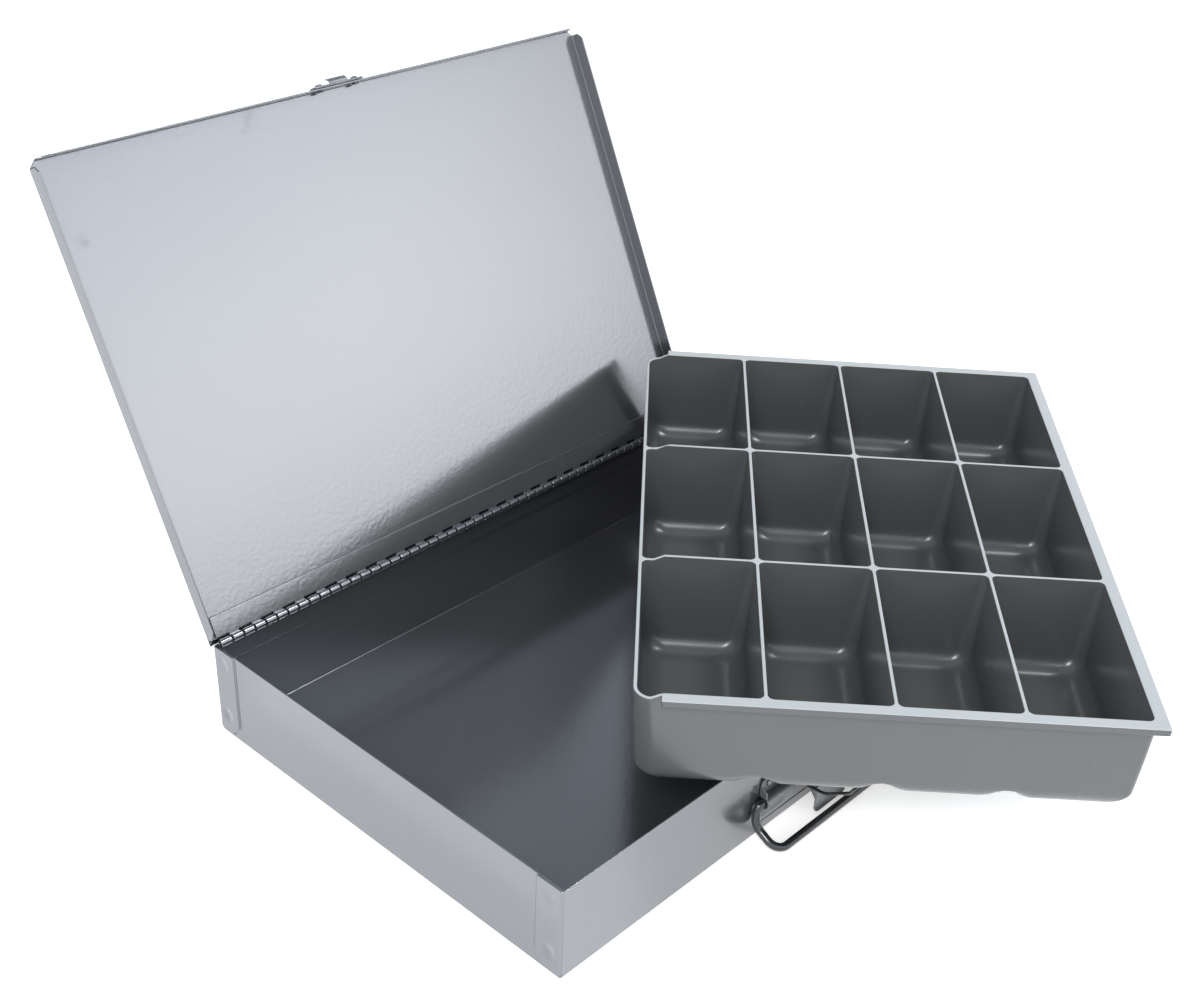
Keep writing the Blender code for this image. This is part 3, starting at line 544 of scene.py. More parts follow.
def black_wire(name):
    """Black enamelled wire, glossy, a little worn where it rubs."""
    n = Surface(name)
    worn = n.ramp(n.noise(140.0, 4.0, 0.6), 0.62, 0.76, 0.0, 0.6)
    colour = n.mix(worn, (0.010, 0.011, 0.013, 1), (0.055, 0.058, 0.062, 1))
    rough = n.math("ADD", n.ramp(n.noise(75.0, 3.0), 0.3, 0.7, -0.05, 0.08), 0.24)
    normal = n.bump(n.noise(700.0, 2.0), 0.15, 0.00010)
    n.set(Base_Color=colour, Roughness=rough, Normal=normal)
    n.set(Specular_IOR_Level=0.6, Coat_Weight=0.35, Coat_Roughness=0.12)
    return n.material


def tray_plastic(name, tone, smoothest, scuffs):
    """Moulded grey plastic with a soft satin skin, flow clouds and hairline scuffs."""
    n = Surface(name)
    flow = n.noise(16.0, 3.0, 0.5, (1.0, 1.0, 0.35))
    green = [tone * 0.955, tone, tone * 0.995]
    deep = [channel * 0.90 for channel in green]
    light = [channel * 1.9 for channel in green]
    colour = n.mix(flow, (*deep, 1.0), (*green, 1.0))
    scratch = n.ramp(n.noise(85.0, 5.0, 0.75, (1.0, 9.0, 9.0)), 0.62, 0.74)
    colour = n.mix(n.math("MULTIPLY", scratch, scuffs), colour, (*light, 1.0))
    rough = n.math("ADD", n.math("MULTIPLY", flow, 0.05), smoothest)
    normal = n.bump(n.noise(24.0, 1.0, 0.4), 0.25, 0.0012)
    normal = n.bump(n.noise(1500.0, 2.0), 0.10, 0.00005, normal)
    n.set(Base_Color=colour, Roughness=rough, Normal=normal)
    n.set(Specular_IOR_Level=0.5, Coat_Weight=0.15, Coat_Roughness=0.22)
    return n.material


PAINT_BODY = painted_steel("grey_enamel_body", 0.22)
PAINT_LID = painted_steel("grey_enamel_lid", 0.22, LID_SMUDGES, painted_slot_shade=True)
PAINT_HINGE = painted_steel("grey_enamel_hinge", 0.21)
STEEL = plated_steel("dull_plating", 0.20)
# Painted shade: the hinge pin gets near-black plating so the gaps between the knuckles read as shadow
PIN_SHADE_STEEL = plated_steel("pin_steel_painted_shade", 0.03)
WIRE = black_wire("black_enamel_wire")
PLASTIC = tray_plastic("tray_plastic", 0.088, 0.24, 0.04)
# Painted highlight: a far lighter copy of the tray's plastic for its upward-facing top faces, standing
# in for the light they catch; its scuffs are real scratches
PLASTIC_LIT_TOP = tray_plastic("tray_plastic_painted_highlight", 0.42, 0.34, 0.14)


# ---------------------------------------------------------------- box body
def rivet(name, centre, grip, matrix, body):
    """A low dome head, its shank through the sheets and a set tail behind."""
    x, y, z = centre
    back = y + FIT_GAP + grip + FIT_GAP
    head, rise = RIVET_HEAD_RADIUS, RIVET_HEAD_HEIGHT
    dome = [math.radians(angle) for angle in range(0, 86, 12)]
    profile = [(head * math.sin(a), y - rise * math.cos(a), 0) for a in dome]
    profile += [(head, y, 0), (RIVET_RADIUS, y, 0), (RIVET_RADIUS, back, 0)]
    for out, behind in ((0.86, 0), (0.9, 0.3), (0.8, 0.7), (0, 0.7)):
        profile.append((head * out, back + rise * behind, 0))
    bm = spun(profile, (0, 1, 0), 28)
    bmesh.ops.translate(bm, vec=(x, 0, z), verts=bm.verts)
    made = from_bmesh(name + "_fine", bm)
    made.data.shade_smooth()
    made.data.set_sharp_from_angle(angle=math.radians(50))
    place(made, matrix)
    show(made, body, name, [STEEL])


def rivet_hole(name, centre):
    x, y, z = centre
    reach = 6 * SHEET
    return rod(name, RIVET_RADIUS + FIT_GAP, (x, y - reach, z), (x, y + reach, z))


def front_rivets():
    places = {}
    for side, sign in (("left", -1), ("right", 1)):
        for which, shift in (("outer", 1), ("inner", -1)):
            x = sign * (BRACKET_MIDDLE + shift * BRACKET_RIVETS / 2)
            places[f"handle_rivet_{side}_{which}"] = (x, BRACKET_RIVET_HEIGHT)
        places[f"latch_rivet_{side}"] = (sign * LATCH_RIVETS / 2, LATCH_RIVET_HEIGHT)
    return places


def front_holes(places):
    return [rivet_hole(name, (x, FRONT, z)) for name, (x, z) in places.items()]


def set_rivets(places, sheet):
    """The rivets that hold a plate of this thickness to the front wall."""
    for name, (x, z) in places.items():
        rivet(name, (x, FRONT - 2 * FIT_GAP - sheet, z), sheet + FIT_GAP + SHEET, Matrix(), "box")


def dent(centre, facing):
    """A soft spot-weld dent, as the lens that is cut out of the sheet."""
    rings = 8
    profile = []
    for i in range(rings):
        deep = DENT_DEPTH * (1 + math.cos(math.pi * i / rings)) / 2
        profile.append((-deep * facing, DENT_RADIUS * i / rings, 0))
    for proud, reach in ((DENT_LIP, DENT_RADIUS), (DENT_DEPTH, DENT_RADIUS), (DENT_DEPTH, 0)):
        profile.append((proud * facing, reach, 0))
    bm = spun(profile, (1, 0, 0), 32)
    bmesh.ops.scale(bm, vec=(1, 1, DENT_STRETCH), verts=bm.verts)
    bmesh.ops.translate(bm, vec=centre, verts=bm.verts)
    return from_bmesh("dent", bm)


def seam(sign, end):
    """The thin dark crevice along a tab's free edge and foot."""
    inside, foot = BODY_DEPTH / 2 - TAB_LENGTH - RIM, TAB_FOOT - RIM
    edge, top = BODY_DEPTH / 2 - 2 * FOLD_RADIUS, BODY_HEIGHT - 2 * RIM
    bend = TAB_CHAMFER + foot
    miter = SEAM * math.tan(math.radians(22.5))
    line = [(edge, foot), (inside + TAB_CHAMFER, foot), (inside, bend), (inside, top)]
    line += [(inside - SEAM, top), (inside - SEAM, bend - miter)]
    line += [(inside + TAB_CHAMFER - miter, foot - SEAM), (edge, foot - SEAM)]
    outer = TAB_ROUND + SEAM
    outline = rounded(line, [0, TAB_ROUND, TAB_ROUND, 0, 0, outer, outer, 0], 5)
    outline = [(end * (y - SEAM_SHIFT), z - SEAM_SHIFT / 2) for y, z in outline]
    x = sign * (BODY_WIDTH / 2 - SHEET)
    return plate("seam", outline, 1.6 * SEAM, ALONG_X, (x, 0, 0))


def box_body():
    """The folded body: walls, rolled rim, lapped corner tabs with seams and spot-weld dents."""

    def outer_fold(edge):
        a, b = (vert.co for vert in edge.verts)
        upright = abs(a.z - b.z) > BODY_HEIGHT / 2
        return upright or (a.z + b.z) / 2 < SHEET

    half = Vector((BODY_WIDTH / 2, BODY_DEPTH / 2))
    shell = block(
        "box_body", (-half.x, -half.y, 0), (half.x, half.y, BODY_HEIGHT), outer_fold, FOLD_RADIUS, 6
    )
    inner = Vector((half.x - 2 * SHEET, half.y - SHEET))
    cavity = block(
        "cavity", (-inner.x, -inner.y, SHEET), (inner.x, inner.y, BODY_HEIGHT + CUT),
        outer_fold, FOLD_RADIUS - SHEET, 3,
    )
    tools = [cavity]
    for sign in (-1, 1):
        inside, edge = BODY_DEPTH / 2 - TAB_LENGTH, BODY_DEPTH / 2 + CUT
        corner = [(edge, -CUT), (edge, TAB_FOOT), (inside + TAB_CHAMFER, TAB_FOOT)]
        corner += [(inside, TAB_FOOT + TAB_CHAMFER), (inside, BODY_HEIGHT + CUT)]
        corner = corner + [(-y, z) for y, z in reversed(corner)]
        radii = [0, 0, TAB_ROUND, TAB_ROUND, 0, 0, TAB_ROUND, TAB_ROUND, 0, 0]
        width = SHEET + CUT
        x = sign * (BODY_WIDTH / 2 - SHEET + width / 2)
        tools.append(plate("recess", rounded(corner, radii, 5), width, ALONG_X, (x, 0, 0)))
    cut(shell, tools)
    soften(shell, RIM, 4)
    length, height, rise = NAME_BAR
    low, high = NAME_BAR_HEIGHT - height / 2, NAME_BAR_HEIGHT + height / 2
    outline = rounded(rectangle((-length / 2, low), (length / 2, high)), [NAME_BAR_CORNER] * 4, 5)
    thick = rise + SHEET / 2
    bar = plate("bar", outline, thick, ALONG_Y, (0, FRONT - rise + thick / 2, 0))
    soften(bar, BAR_EDGE)
    cut(shell, [bar], "UNION")
    tools = front_holes(front_rivets())
    for sign in (-1, 1):
        for end in (-1, 1):
            tools.append(seam(sign, end))
            y = end * (BODY_DEPTH / 2 - TAB_LENGTH * DENT_INSET)
            tools += [dent((sign * BODY_WIDTH / 2, y, z), sign) for z in DENT_HEIGHTS]
    cut(shell, [joined("holes_and_dents", tools)])
    soften(shell, 0)
    show(shell, "box", "box_shell", [PAINT_BODY])


# ---------------------------------------------------------------- piano hinge
def knuckle_span(index):
    pitch = HINGE_LENGTH / KNUCKLE_COUNT
    start = -HINGE_LENGTH / 2 + index * pitch
    return start, start + pitch


def hinge_leaf(name, upright, first_knuckle):
    """A leaf rolled into knuckles round the pin, cut away where the other leaf's knuckles sit."""
    sheet_top = KNUCKLE_RADIUS
    sheet_under = KNUCKLE_RADIUS - LEAF_THICKNESS
    meet = math.degrees(math.asin(sheet_under / KNUCKLE_RADIUS))
    outline = [(-LEAF_WIDTH, sheet_top), (-LEAF_WIDTH, sheet_under)]
    outline += arc((0, 0), KNUCKLE_RADIUS, 180 - meet, 450, 26)
    if upright:
        outline = [(v, u) for u, v in outline]
    leaf = plate(name, outline, HINGE_LENGTH, ALONG_X)
    reach = HINGE_LENGTH / 2 + CUT
    bore = rod("bore", HINGE_PIN_RADIUS + FIT_GAP, (-reach, 0, 0), (reach, 0, 0))
    cut(leaf, [bore])
    notch_reach = KNUCKLE_RADIUS + KNUCKLE_NOTCH
    wide = KNUCKLE_RADIUS + CUT
    notches = []
    for index in range(first_knuckle, KNUCKLE_COUNT, 2):
        start, end = knuckle_span(index)
        start -= KNUCKLE_GAP / 2 if index else CUT
        end += KNUCKLE_GAP / 2 if index < KNUCKLE_COUNT - 1 else CUT
        low, high = (start, -notch_reach, -wide), (end, wide, wide)
        if upright:
            low, high = (start, -wide, -notch_reach), (end, wide, wide)
        notches.append(block("notch", low, high))
    cut(leaf, [joined("notches", notches)])
    return soften(leaf, SHEET_EDGE)


def hinge():
    leaf = place(hinge_leaf("box_leaf", True, 1), Matrix.Translation(HINGE))
    show(leaf, "box", "box_hinge_leaf", [PAINT_HINGE])
    leaf = place(hinge_leaf("lid_leaf", False, 0), LID_TURN)
    show(leaf, "lid", "lid_hinge_leaf", [PAINT_HINGE])
    pin = rod("pin_rod", HINGE_PIN_RADIUS, (-HINGE_LENGTH / 2, 0, 0), (HINGE_LENGTH / 2, 0, 0))
    place(soften(pin, SMALL_EDGE), Matrix.Translation(HINGE))
    show(pin, "box", "hinge_pin", [PIN_SHADE_STEEL])


# ---------------------------------------------------------------- lid
LID_HALF = 0.17185
LID_FRONT = -0.2340
LID_BACK = -0.0003
LID_UNDER = KNUCKLE_RADIUS + FIT_GAP
LID_TOP = LID_UNDER + SHEET


def catch_rivets():
    z = LID_TOP - CATCH_DROP - CATCH_HEIGHT / 2
    return {
        f"catch_rivet_{side}": (sign * CATCH_RIVETS / 2, LID_FRONT - CATCH_SHEET - FIT_GAP, z)
        for side, sign in (("left", -1), ("right", 1))
    }


def lid():
    """The panel with its three flanges, slanted flange ends and clipped corners."""
    bottom = LID_TOP - LID_FLANGE

    def folds(edge):
        a, b = (vert.co for vert in edge.verts)
        return (a.z + b.z) / 2 > LID_TOP - SHEET / 2 and (a.y + b.y) / 2 < LID_BACK - SHEET

    panel = block(
        "lid_sheet", (-LID_HALF, LID_FRONT, bottom), (LID_HALF, LID_BACK, LID_TOP), folds, SHEET, 5
    )
    tools = [
        block(
            "pocket",
            (-LID_HALF + SHEET, LID_FRONT + SHEET, bottom - CUT),
            (LID_HALF - SHEET, LID_BACK + CUT, LID_UNDER),
        )
    ]
    for sign in (-1, 1):
        edge, slant = sign * (LID_HALF + CUT), sign * (LID_HALF - FLANGE_END_SLANT)
        clip = LID_CORNER_CHAMFER + CUT
        corner = [(edge, LID_FRONT - CUT), (sign * (LID_HALF - clip), LID_FRONT - CUT)]
        corner += [(edge, LID_FRONT + clip)]
        tools.append(plate("corner", corner, 4 * LID_FLANGE, ALONG_Z))
        front_end = [(slant, bottom - CUT), (edge, bottom - CUT), (edge, LID_UNDER)]
        tools.append(
            plate("front_end", front_end, 2 * SHEET + CUT, ALONG_Y, (0, LID_FRONT + SHEET / 2, 0))
        )
        x = sign * (LID_HALF - SHEET / 2)
        for y, toward, length in ((LID_BACK, -1, LID_FLANGE), (LID_FRONT, 1, FLANGE_FRONT_SLANT)):
            tail = [(y - toward * CUT, bottom - CUT), (y + toward * length, bottom - CUT)]
            tail += [(y - toward * CUT, LID_UNDER)]
            tools.append(plate("side_end", tail, 2 * SHEET, ALONG_X, (x, 0, 0)))
    cut(panel, tools)
    cut(panel, [joined("holes", [rivet_hole(name, at) for name, at in catch_rivets().items()])])
    place(soften(panel, SHEET_EDGE, 3), LID_TURN)
    show(panel, "lid", "lid_panel", [PAINT_LID])


def catch():
    """The strike plate on the front flange, with its curled hook."""
    face = LID_FRONT - FIT_GAP
    upper, lower = LID_TOP - CATCH_DROP, LID_TOP - CATCH_DROP - CATCH_HEIGHT
    corner = 0.25 * CATCH_HEIGHT
    strike = plate(
        "strike_plate",
        rounded(rectangle((-CATCH_WIDTH / 2, lower), (CATCH_WIDTH / 2, upper)), [corner] * 4, 6),
        CATCH_SHEET, ALONG_Y, (0, face - CATCH_SHEET / 2, 0),
    )
    centre = (face - CATCH_SHEET / 2, lower + HOOK_RADIUS + CATCH_SHEET / 2)
    strip = arc(centre, HOOK_RADIUS, 270, 180, 12)
    strip += arc(centre, HOOK_RADIUS - HOOK_SHEET, 180, 270, 12)
    hook = plate("hook", strip, HOOK_WIDTH, ALONG_X)
    cut(strike, [hook], "UNION")
    cut(strike, [joined("holes", [rivet_hole(name, at) for name, at in catch_rivets().items()])])
    place(soften(strike, SMALL_EDGE), LID_TURN)
    show(strike, "lid", "lid_catch", [STEEL])
    for name, at in catch_rivets().items():
        grip = CATCH_SHEET + FIT_GAP + SHEET
        rivet(name, (at[0], at[1] - FIT_GAP, at[2]), grip, LID_TURN, "lid")


# ---------------------------------------------------------------- handle
def bracket(side, sign):
    """A riveted plate whose middle is rolled round the handle's wire, with a stop at its outer edge."""
    channel = WIRE_RADIUS + CHANNEL_GAP
    axis_y, axis_z = HANDLE_PIVOT.y, HANDLE_PIVOT.z
    inner, outer = FRONT - FIT_GAP, FRONT - FIT_GAP - BRACKET_SHEET
    section = [(inner, BRACKET_TOP), (outer, BRACKET_TOP), (outer, axis_z + channel + BRACKET_SHEET)]
    section += arc((axis_y, axis_z), channel + BRACKET_SHEET, 90, 270, 24)
    section += [(outer, axis_z - channel - BRACKET_SHEET), (outer, BRACKET_BOTTOM)]
    section += [(inner, BRACKET_BOTTOM), (inner, axis_z - channel)]
    section += arc((axis_y, axis_z), channel, 270, 90, 24)
    section += [(inner, axis_z + channel)]
    cleaned = [section[0]]
    for point in section[1:]:
        if math.dist(point, cleaned[-1]) > MERGE:
            cleaned.append(point)
    middle = sign * BRACKET_MIDDLE
    made = plate(f"bracket_{side}", cleaned, BRACKET_WIDTH, ALONG_X, (middle, 0, 0))
    half = BRACKET_WIDTH / 2
    outline = rectangle((middle - half, BRACKET_BOTTOM), (middle + half, BRACKET_TOP))
    outline = rounded(outline, [BRACKET_CORNER] * 4)
    cut(made, [plate("outline", outline, CUT_THROUGH, ALONG_Y, (0, FRONT, 0))], "INTERSECT")
    ear_x = middle + sign * (half - BRACKET_SHEET / 2)
    ear_foot = axis_z + WIRE_RADIUS + 2 * FIT_GAP
    ear_top = BRACKET_TOP - BRACKET_CORNER
    back, tip = FRONT - FIT_GAP, FRONT - FIT_GAP - BRACKET_SHEET - BRACKET_EAR_DEPTH
    ear = [(back, ear_foot), (tip, ear_foot), (tip, ear_foot + BRACKET_EAR_DEPTH)]
    ear += [(back - BRACKET_SHEET, ear_top), (back, ear_top)]
    ear = rounded(ear, [0, 0, BRACKET_EAR_DEPTH / 2, 0, 0], 6)
    cut(made, [plate("ear", ear, BRACKET_SHEET, ALONG_X, (ear_x, 0, 0))], "UNION")
    places = {n: p for n, p in front_rivets().items() if f"handle_rivet_{side}" in n}
    cut(made, [joined("holes", front_holes(places))])
    soften(made, SMALL_EDGE)
    show(made, "box", f"handle_bracket_{side}", [STEEL])
    set_rivets(places, BRACKET_SHEET)


def mirrored(left):
    """A path on the left side, carried on over the middle by its mirror image."""
    return left + [(-x, y, z) for x, y, z in reversed(left)]


def handle():
    end = BRACKET_MIDDLE - BRACKET_WIDTH / 4
    left = [(-end, 0, 0)] + [(-HANDLE_HALF_SPAN, y, z) for y, z in HANDLE_SIDE]
    path = bend_path(mirrored(left), HANDLE_BENDS + HANDLE_BENDS[::-1])
    bail = wire("bail", path, WIRE_RADIUS, 24)
    place(bail, Matrix.Translation(HANDLE_PIVOT))
    show(bail, "handle", "handle_bail", [WIRE])


# ---------------------------------------------------------------- draw latch
def latch():
    half = LATCH_BASE_WIDTH / 2
    middle = FRONT - FIT_GAP - LATCH_SHEET / 2
    outline = rectangle((-half, LATCH_BASE_BOTTOM), (half, LATCH_BASE_TOP))
    outline = rounded(outline, [0, 0, LATCH_BASE_CORNER, LATCH_BASE_CORNER])
    base = plate("latch_mount", outline, LATCH_SHEET, ALONG_Y, (0, middle, 0))
    pin_y, z, radius = LEVER_PIVOT.y, LEVER_PIVOT.z, LATCH_EAR_RADIUS
    outline = [(middle, z - radius)] + arc((pin_y, z), radius, 270, 90, 16) + [(middle, z + radius)]
    for sign in (-1, 1):
        x = sign * (half - LATCH_SHEET / 2)
        cut(base, [plate("ear", outline, LATCH_SHEET, ALONG_X, (x, 0, 0))], "UNION")
    reach = half + CUT
    tools = [rod("bore", LATCH_PIN_RADIUS + FIT_GAP, (-reach, pin_y, z), (reach, pin_y, z))]
    places = {n: p for n, p in front_rivets().items() if "latch" in n}
    cut(base, tools + front_holes(places))
    soften(base, SMALL_EDGE)
    show(base, "box", "latch_base", [STEEL])
    set_rivets(places, LATCH_SHEET)
    reach = LEVER_WIDTH / 2 + FIT_GAP
    pin = rod("latch_rod", LATCH_PIN_RADIUS, (-reach, pin_y, z), (reach, pin_y, z))
    soften(pin, PIN_EDGE, 3)
    show(pin, "box", "latch_pin", [STEEL])


def lever():
    top, foot = LEVER_TOP - LEVER_PIVOT.z, LEVER_BOTTOM - LEVER_PIVOT.z
    cheek_end = LEVER_CHEEK_END - LEVER_PIVOT.z
    half = LEVER_WIDTH / 2
    outline = rounded(rectangle((-half, foot), (half, top)), [LEVER_CORNER, LEVER_CORNER, 0, 0])
    middle = (0, LEVER_FACE + LATCH_SHEET / 2, 0)
    made = plate("lever_plate", outline, LATCH_SHEET, ALONG_Y, middle)
    boss = LATCH_EAR_RADIUS + FIT_GAP
    outline = [(LEVER_FACE, top), (LEVER_FACE, cheek_end)]
    outline += [(LOOP_OFFSET[0] - FIT_GAP, LOOP_OFFSET[1] - boss)]
    outline += arc((0, 0), boss, 315, 450, 14)
    for sign in (-1, 1):
        x = sign * (half - LATCH_SHEET / 2)
        cut(made, [plate("cheek", outline, LATCH_SHEET, ALONG_X, (x, 0, 0))], "UNION")
    reach = half + CUT
    bores = [("pin_bore", LATCH_PIN_RADIUS, (0, 0)), ("loop_bore", LOOP_RADIUS, LOOP_OFFSET)]
    cut(made, [rod(n, radius + FIT_GAP, (-reach, *at), (reach, *at)) for n, radius, at in bores])
    place(soften(made, SMALL_EDGE), LEVER_TURN)
    show(made, "lever", "latch_lever", [STEEL])


def loop():
    side = LEVER_WIDTH / 2 + LOOP_SIDE_GAP + LOOP_RADIUS
    end = LEVER_WIDTH / 2 - LATCH_SHEET - FIT_GAP
    left = [(-end, 0, 0), (-side, 0, 0)] + [(-side, -reach, rise) for reach, rise in LOOP_POINTS]
    path = bend_path(mirrored(left), LOOP_BENDS + LOOP_BENDS[::-1], 8)
    made = wire("loop_wire", path, LOOP_RADIUS, 16)
    place(made, LEVER_TURN @ Matrix.Translation((0, *LOOP_OFFSET)))
    show(made, "loop", "latch_loop", [WIRE])


# ---------------------------------------------------------------- tray
HALF_X = TRAY_WIDTH / 2 - TRAY_LIP
FRONT_Y = -TRAY_DEPTH / 2 + TRAY_LIP
BACK_Y = TRAY_DEPTH / 2 - TRAY_WALL / 2
LINES_X = [-HALF_X + 2 * HALF_X * i / TRAY_ROWS for i in range(TRAY_ROWS + 1)]
LINES_Y = [FRONT_Y + (BACK_Y - FRONT_Y) * i / TRAY_COLUMNS for i in range(TRAY_COLUMNS + 1)]
STRIP_Y = BACK_Y - HINGE_STRIP_WIDTH
STRIP_RAMP = 0.0050
STRIP_BEND = 0.0004
STRIP_STEP = 0.00012
TOP_EDGE = 0.00045
TOP_ROLL = ((1, 0), (0.5, 0.134), (0.134, 0.5), (0, 1))
CORNER_GROWTH = 0.85
LEAST_RADIUS = 0.0004
FLOOR_MARGIN = 0.0012
UNDER_STEP = 0.0022
UNDER_MIDDLE = 0.0100
# How far below the lowered dividers' tops the painted highlight on upward faces still reaches
LIT_TOP_BAND = 0.0008
LIP_REACH = TRAY_LIP - TRAY_WALL / 2
LIP_CORNER = 0.0012
LIP_ROOT = 0.0006
FLOOR_RADIUS = CUP_FILLET + TRAY_WALL
GROOVE = TRAY_WALL / 2 + TRAY_DRAFT * (TRAY_HEIGHT - TRAY_WALL - CUP_FILLET) + CUP_FILLET
HOLLOW_LEAST = 0.0028
HOLLOW_MORE = 0.0100
HOLLOW_REACH = 0.0120
HOLLOW_FADE = 0.0125
CORNER_STEPS = 8
CORNER_COLUMNS = CORNER_STEPS + 1


def smooth(value):
    value = min(max(value, 0.0), 1.0)
    return value * value * (3 - 2 * value)


def drop(y):
    """How far the dividers' tops lie below the lip near the hinge side."""
    return HINGE_STRIP_DROP * min(max((y - STRIP_Y) / STRIP_RAMP, 0.0), 1.0)


def ring(low, high, radii, shares):
    """A rounded rectangle of matching points: each corner, then the points along the side after it."""
    turns = (180, 270, 0, 90)
    centres = [
        (low[0] + radii[0], low[1] + radii[0]), (high[0] - radii[1], low[1] + radii[1]),
        (high[0] - radii[2], high[1] - radii[2]), (low[0] + radii[3], high[1] - radii[3]),
    ]
    arcs = [arc(c, r, turn, turn + 90, CORNER_STEPS) for c, r, turn in zip(centres, radii, turns)]
    points = []
    for index in range(4):
        points += arcs[index]
        a, b = arcs[index][-1], arcs[(index + 1) % 4][0]
        points += [(a[0] + (b[0] - a[0]) * t, a[1] + (b[1] - a[1]) * t) for t in shares[index]]
    return points


def even(count):
    return [(i + 1) / (count + 1) for i in range(count)]


def round_shares(across, side):
    """The shares along all four sides, with the left side the mirror of the right one."""
    return [even(across), side, even(across), [1 - share for share in reversed(side)]]


def inset_ring(low, high, inset, radii, shares):
    a, b = (low[0] + inset, low[1] + inset), (high[0] - inset, high[1] - inset)
    return ring(a, b, radii, shares)


def grown(radii, share, floor_radius):
    """Corner radii a share of the way to the radius at the floor."""
    return [r + share * max(floor_radius - r, 0) for r in radii]


def cup_rows(low, high, radii, at_back):
    """Rings of one cup from its rolled top edge down to its floor."""
    side = even(9)
    if at_back:
        length = (high[1] - radii[2]) - (low[1] + radii[1])
        ramp_end = STRIP_Y + STRIP_RAMP
        marks = [STRIP_Y - STRIP_BEND, STRIP_Y, ramp_end, ramp_end + STRIP_BEND]
        extra = [(y - low[1] - radii[1]) / length for y in marks]
        kept = [s for s in side if min(abs(s - e) for e in extra) > 0.02]
        side = sorted(kept + [e for e in extra if 0 < e < 1])
    shares = round_shares(17, side)
    rows = []

    def add(inset, depth, corners):
        z = TRAY_HEIGHT - depth
        weight = max(z - FLOOR_RADIUS, 0) / (TRAY_HEIGHT - FLOOR_RADIUS)
        points = inset_ring(low, high, inset, corners, shares)
        rows.append([(x, y, z - drop(y) * weight) for x, y in points])

    for angle in (0, 30, 60, 90):
        turn = math.radians(angle)
        shift = TOP_EDGE * (math.sin(turn) - 1)
        add(shift, TOP_EDGE * (1 - math.cos(turn)), [max(r - shift, LEAST_RADIUS) for r in radii])
    wall_depth = TRAY_HEIGHT - FLOOR_RADIUS
    for share in (0.12, 0.35, 0.6, 0.85):
        depth = TOP_EDGE + (wall_depth - TOP_EDGE) * share
        add(TRAY_DRAFT * depth, depth, grown(radii, CORNER_GROWTH * share ** 1.5, CUP_FLOOR_CORNER))
    for step in range(9, -1, -1):
        angle = math.radians(90 * step / 9)
        z = TRAY_WALL + CUP_FILLET * (1 - math.cos(angle))
        inset = CUP_FILLET * (1 - math.sin(angle)) + TRAY_DRAFT * (TRAY_HEIGHT - z)
        blend = CORNER_GROWTH + (1 - CORNER_GROWTH) * (1 - step / 9)
        add(inset, TRAY_HEIGHT - z, grown(radii, blend, CUP_FLOOR_CORNER))
    inset = CUP_FILLET + TRAY_DRAFT * TRAY_HEIGHT + FLOOR_MARGIN
    add(inset, TRAY_HEIGHT - TRAY_WALL, [CUP_FLOOR_CORNER] * 4)
    return rows


def skin(bm, rows):
    """Vertices and faces for rows of points, closed at the last row."""
    made = [[bm.verts.new(point) for point in points] for points in rows]
    loft_rows(bm, made)
    bm.faces.new(made[-1])
    return made[0]


def cups(bm):
    """All twelve cups; gives back the top edge of each."""
    wall = TRAY_WALL / 2
    hinge_corner = HINGE_SIDE_CORNER - TRAY_WALL
    edges = []
    for row in range(TRAY_ROWS):
        for column in range(TRAY_COLUMNS):
            low = (LINES_X[row] + wall, LINES_Y[column] + wall)
            high = (LINES_X[row + 1] - wall, LINES_Y[column + 1] - wall)
            at_back = column == TRAY_COLUMNS - 1
            right = hinge_corner if at_back and row == TRAY_ROWS - 1 else CUP_CORNER
            left = hinge_corner if at_back and row == 0 else CUP_CORNER
            radii = [CUP_CORNER, CUP_CORNER, right, left]
            edges.append(skin(bm, cup_rows(low, high, radii, at_back)))
    return edges


def under(x, y, reach):
    """The height of the hollows under the dividers, shallower where they meet the outer wall."""
    height = 0.0
    limit = HOLLOW_LEAST + HOLLOW_MORE * smooth(reach / HOLLOW_REACH)
    for lines, at in ((LINES_X, x), (LINES_Y, y)):
        for line in lines[1:-1]:
            distance = abs(at - line)
            if distance >= GROOVE:
                continue
            across = min(GROOVE - distance, FLOOR_RADIUS * 0.992)
            found = FLOOR_RADIUS - math.sqrt(FLOOR_RADIUS * FLOOR_RADIUS - across * across)
            height = max(height, limit * math.tanh(found / limit))
    return height


def lip_section():
    """The lip's section from its rolled outer edge back to the wall: (reach out, depth down)."""
    skirt, inner = TRAY_SKIRT, LIP_REACH - TRAY_SKIRT_WALL
    edge, chamfer, fillet = 0.0004, 0.0001, 0.0005
    section = [(LIP_REACH - TOP_EDGE * out, TOP_EDGE * down) for out, down in TOP_ROLL]
    section += [(LIP_REACH, skirt - edge), (LIP_REACH - chamfer, skirt - chamfer)]
    section += [(LIP_REACH - edge, skirt), (inner + edge, skirt)]
    section += [(inner + chamfer, skirt - chamfer), (inner, skirt - edge)]
    section += [(inner, TRAY_WALL + fillet), (inner - fillet, TRAY_WALL), (fillet, TRAY_WALL)]
    return section + [(chamfer, TRAY_WALL + 2 * chamfer), (0.0, TRAY_WALL + LIP_ROOT)]


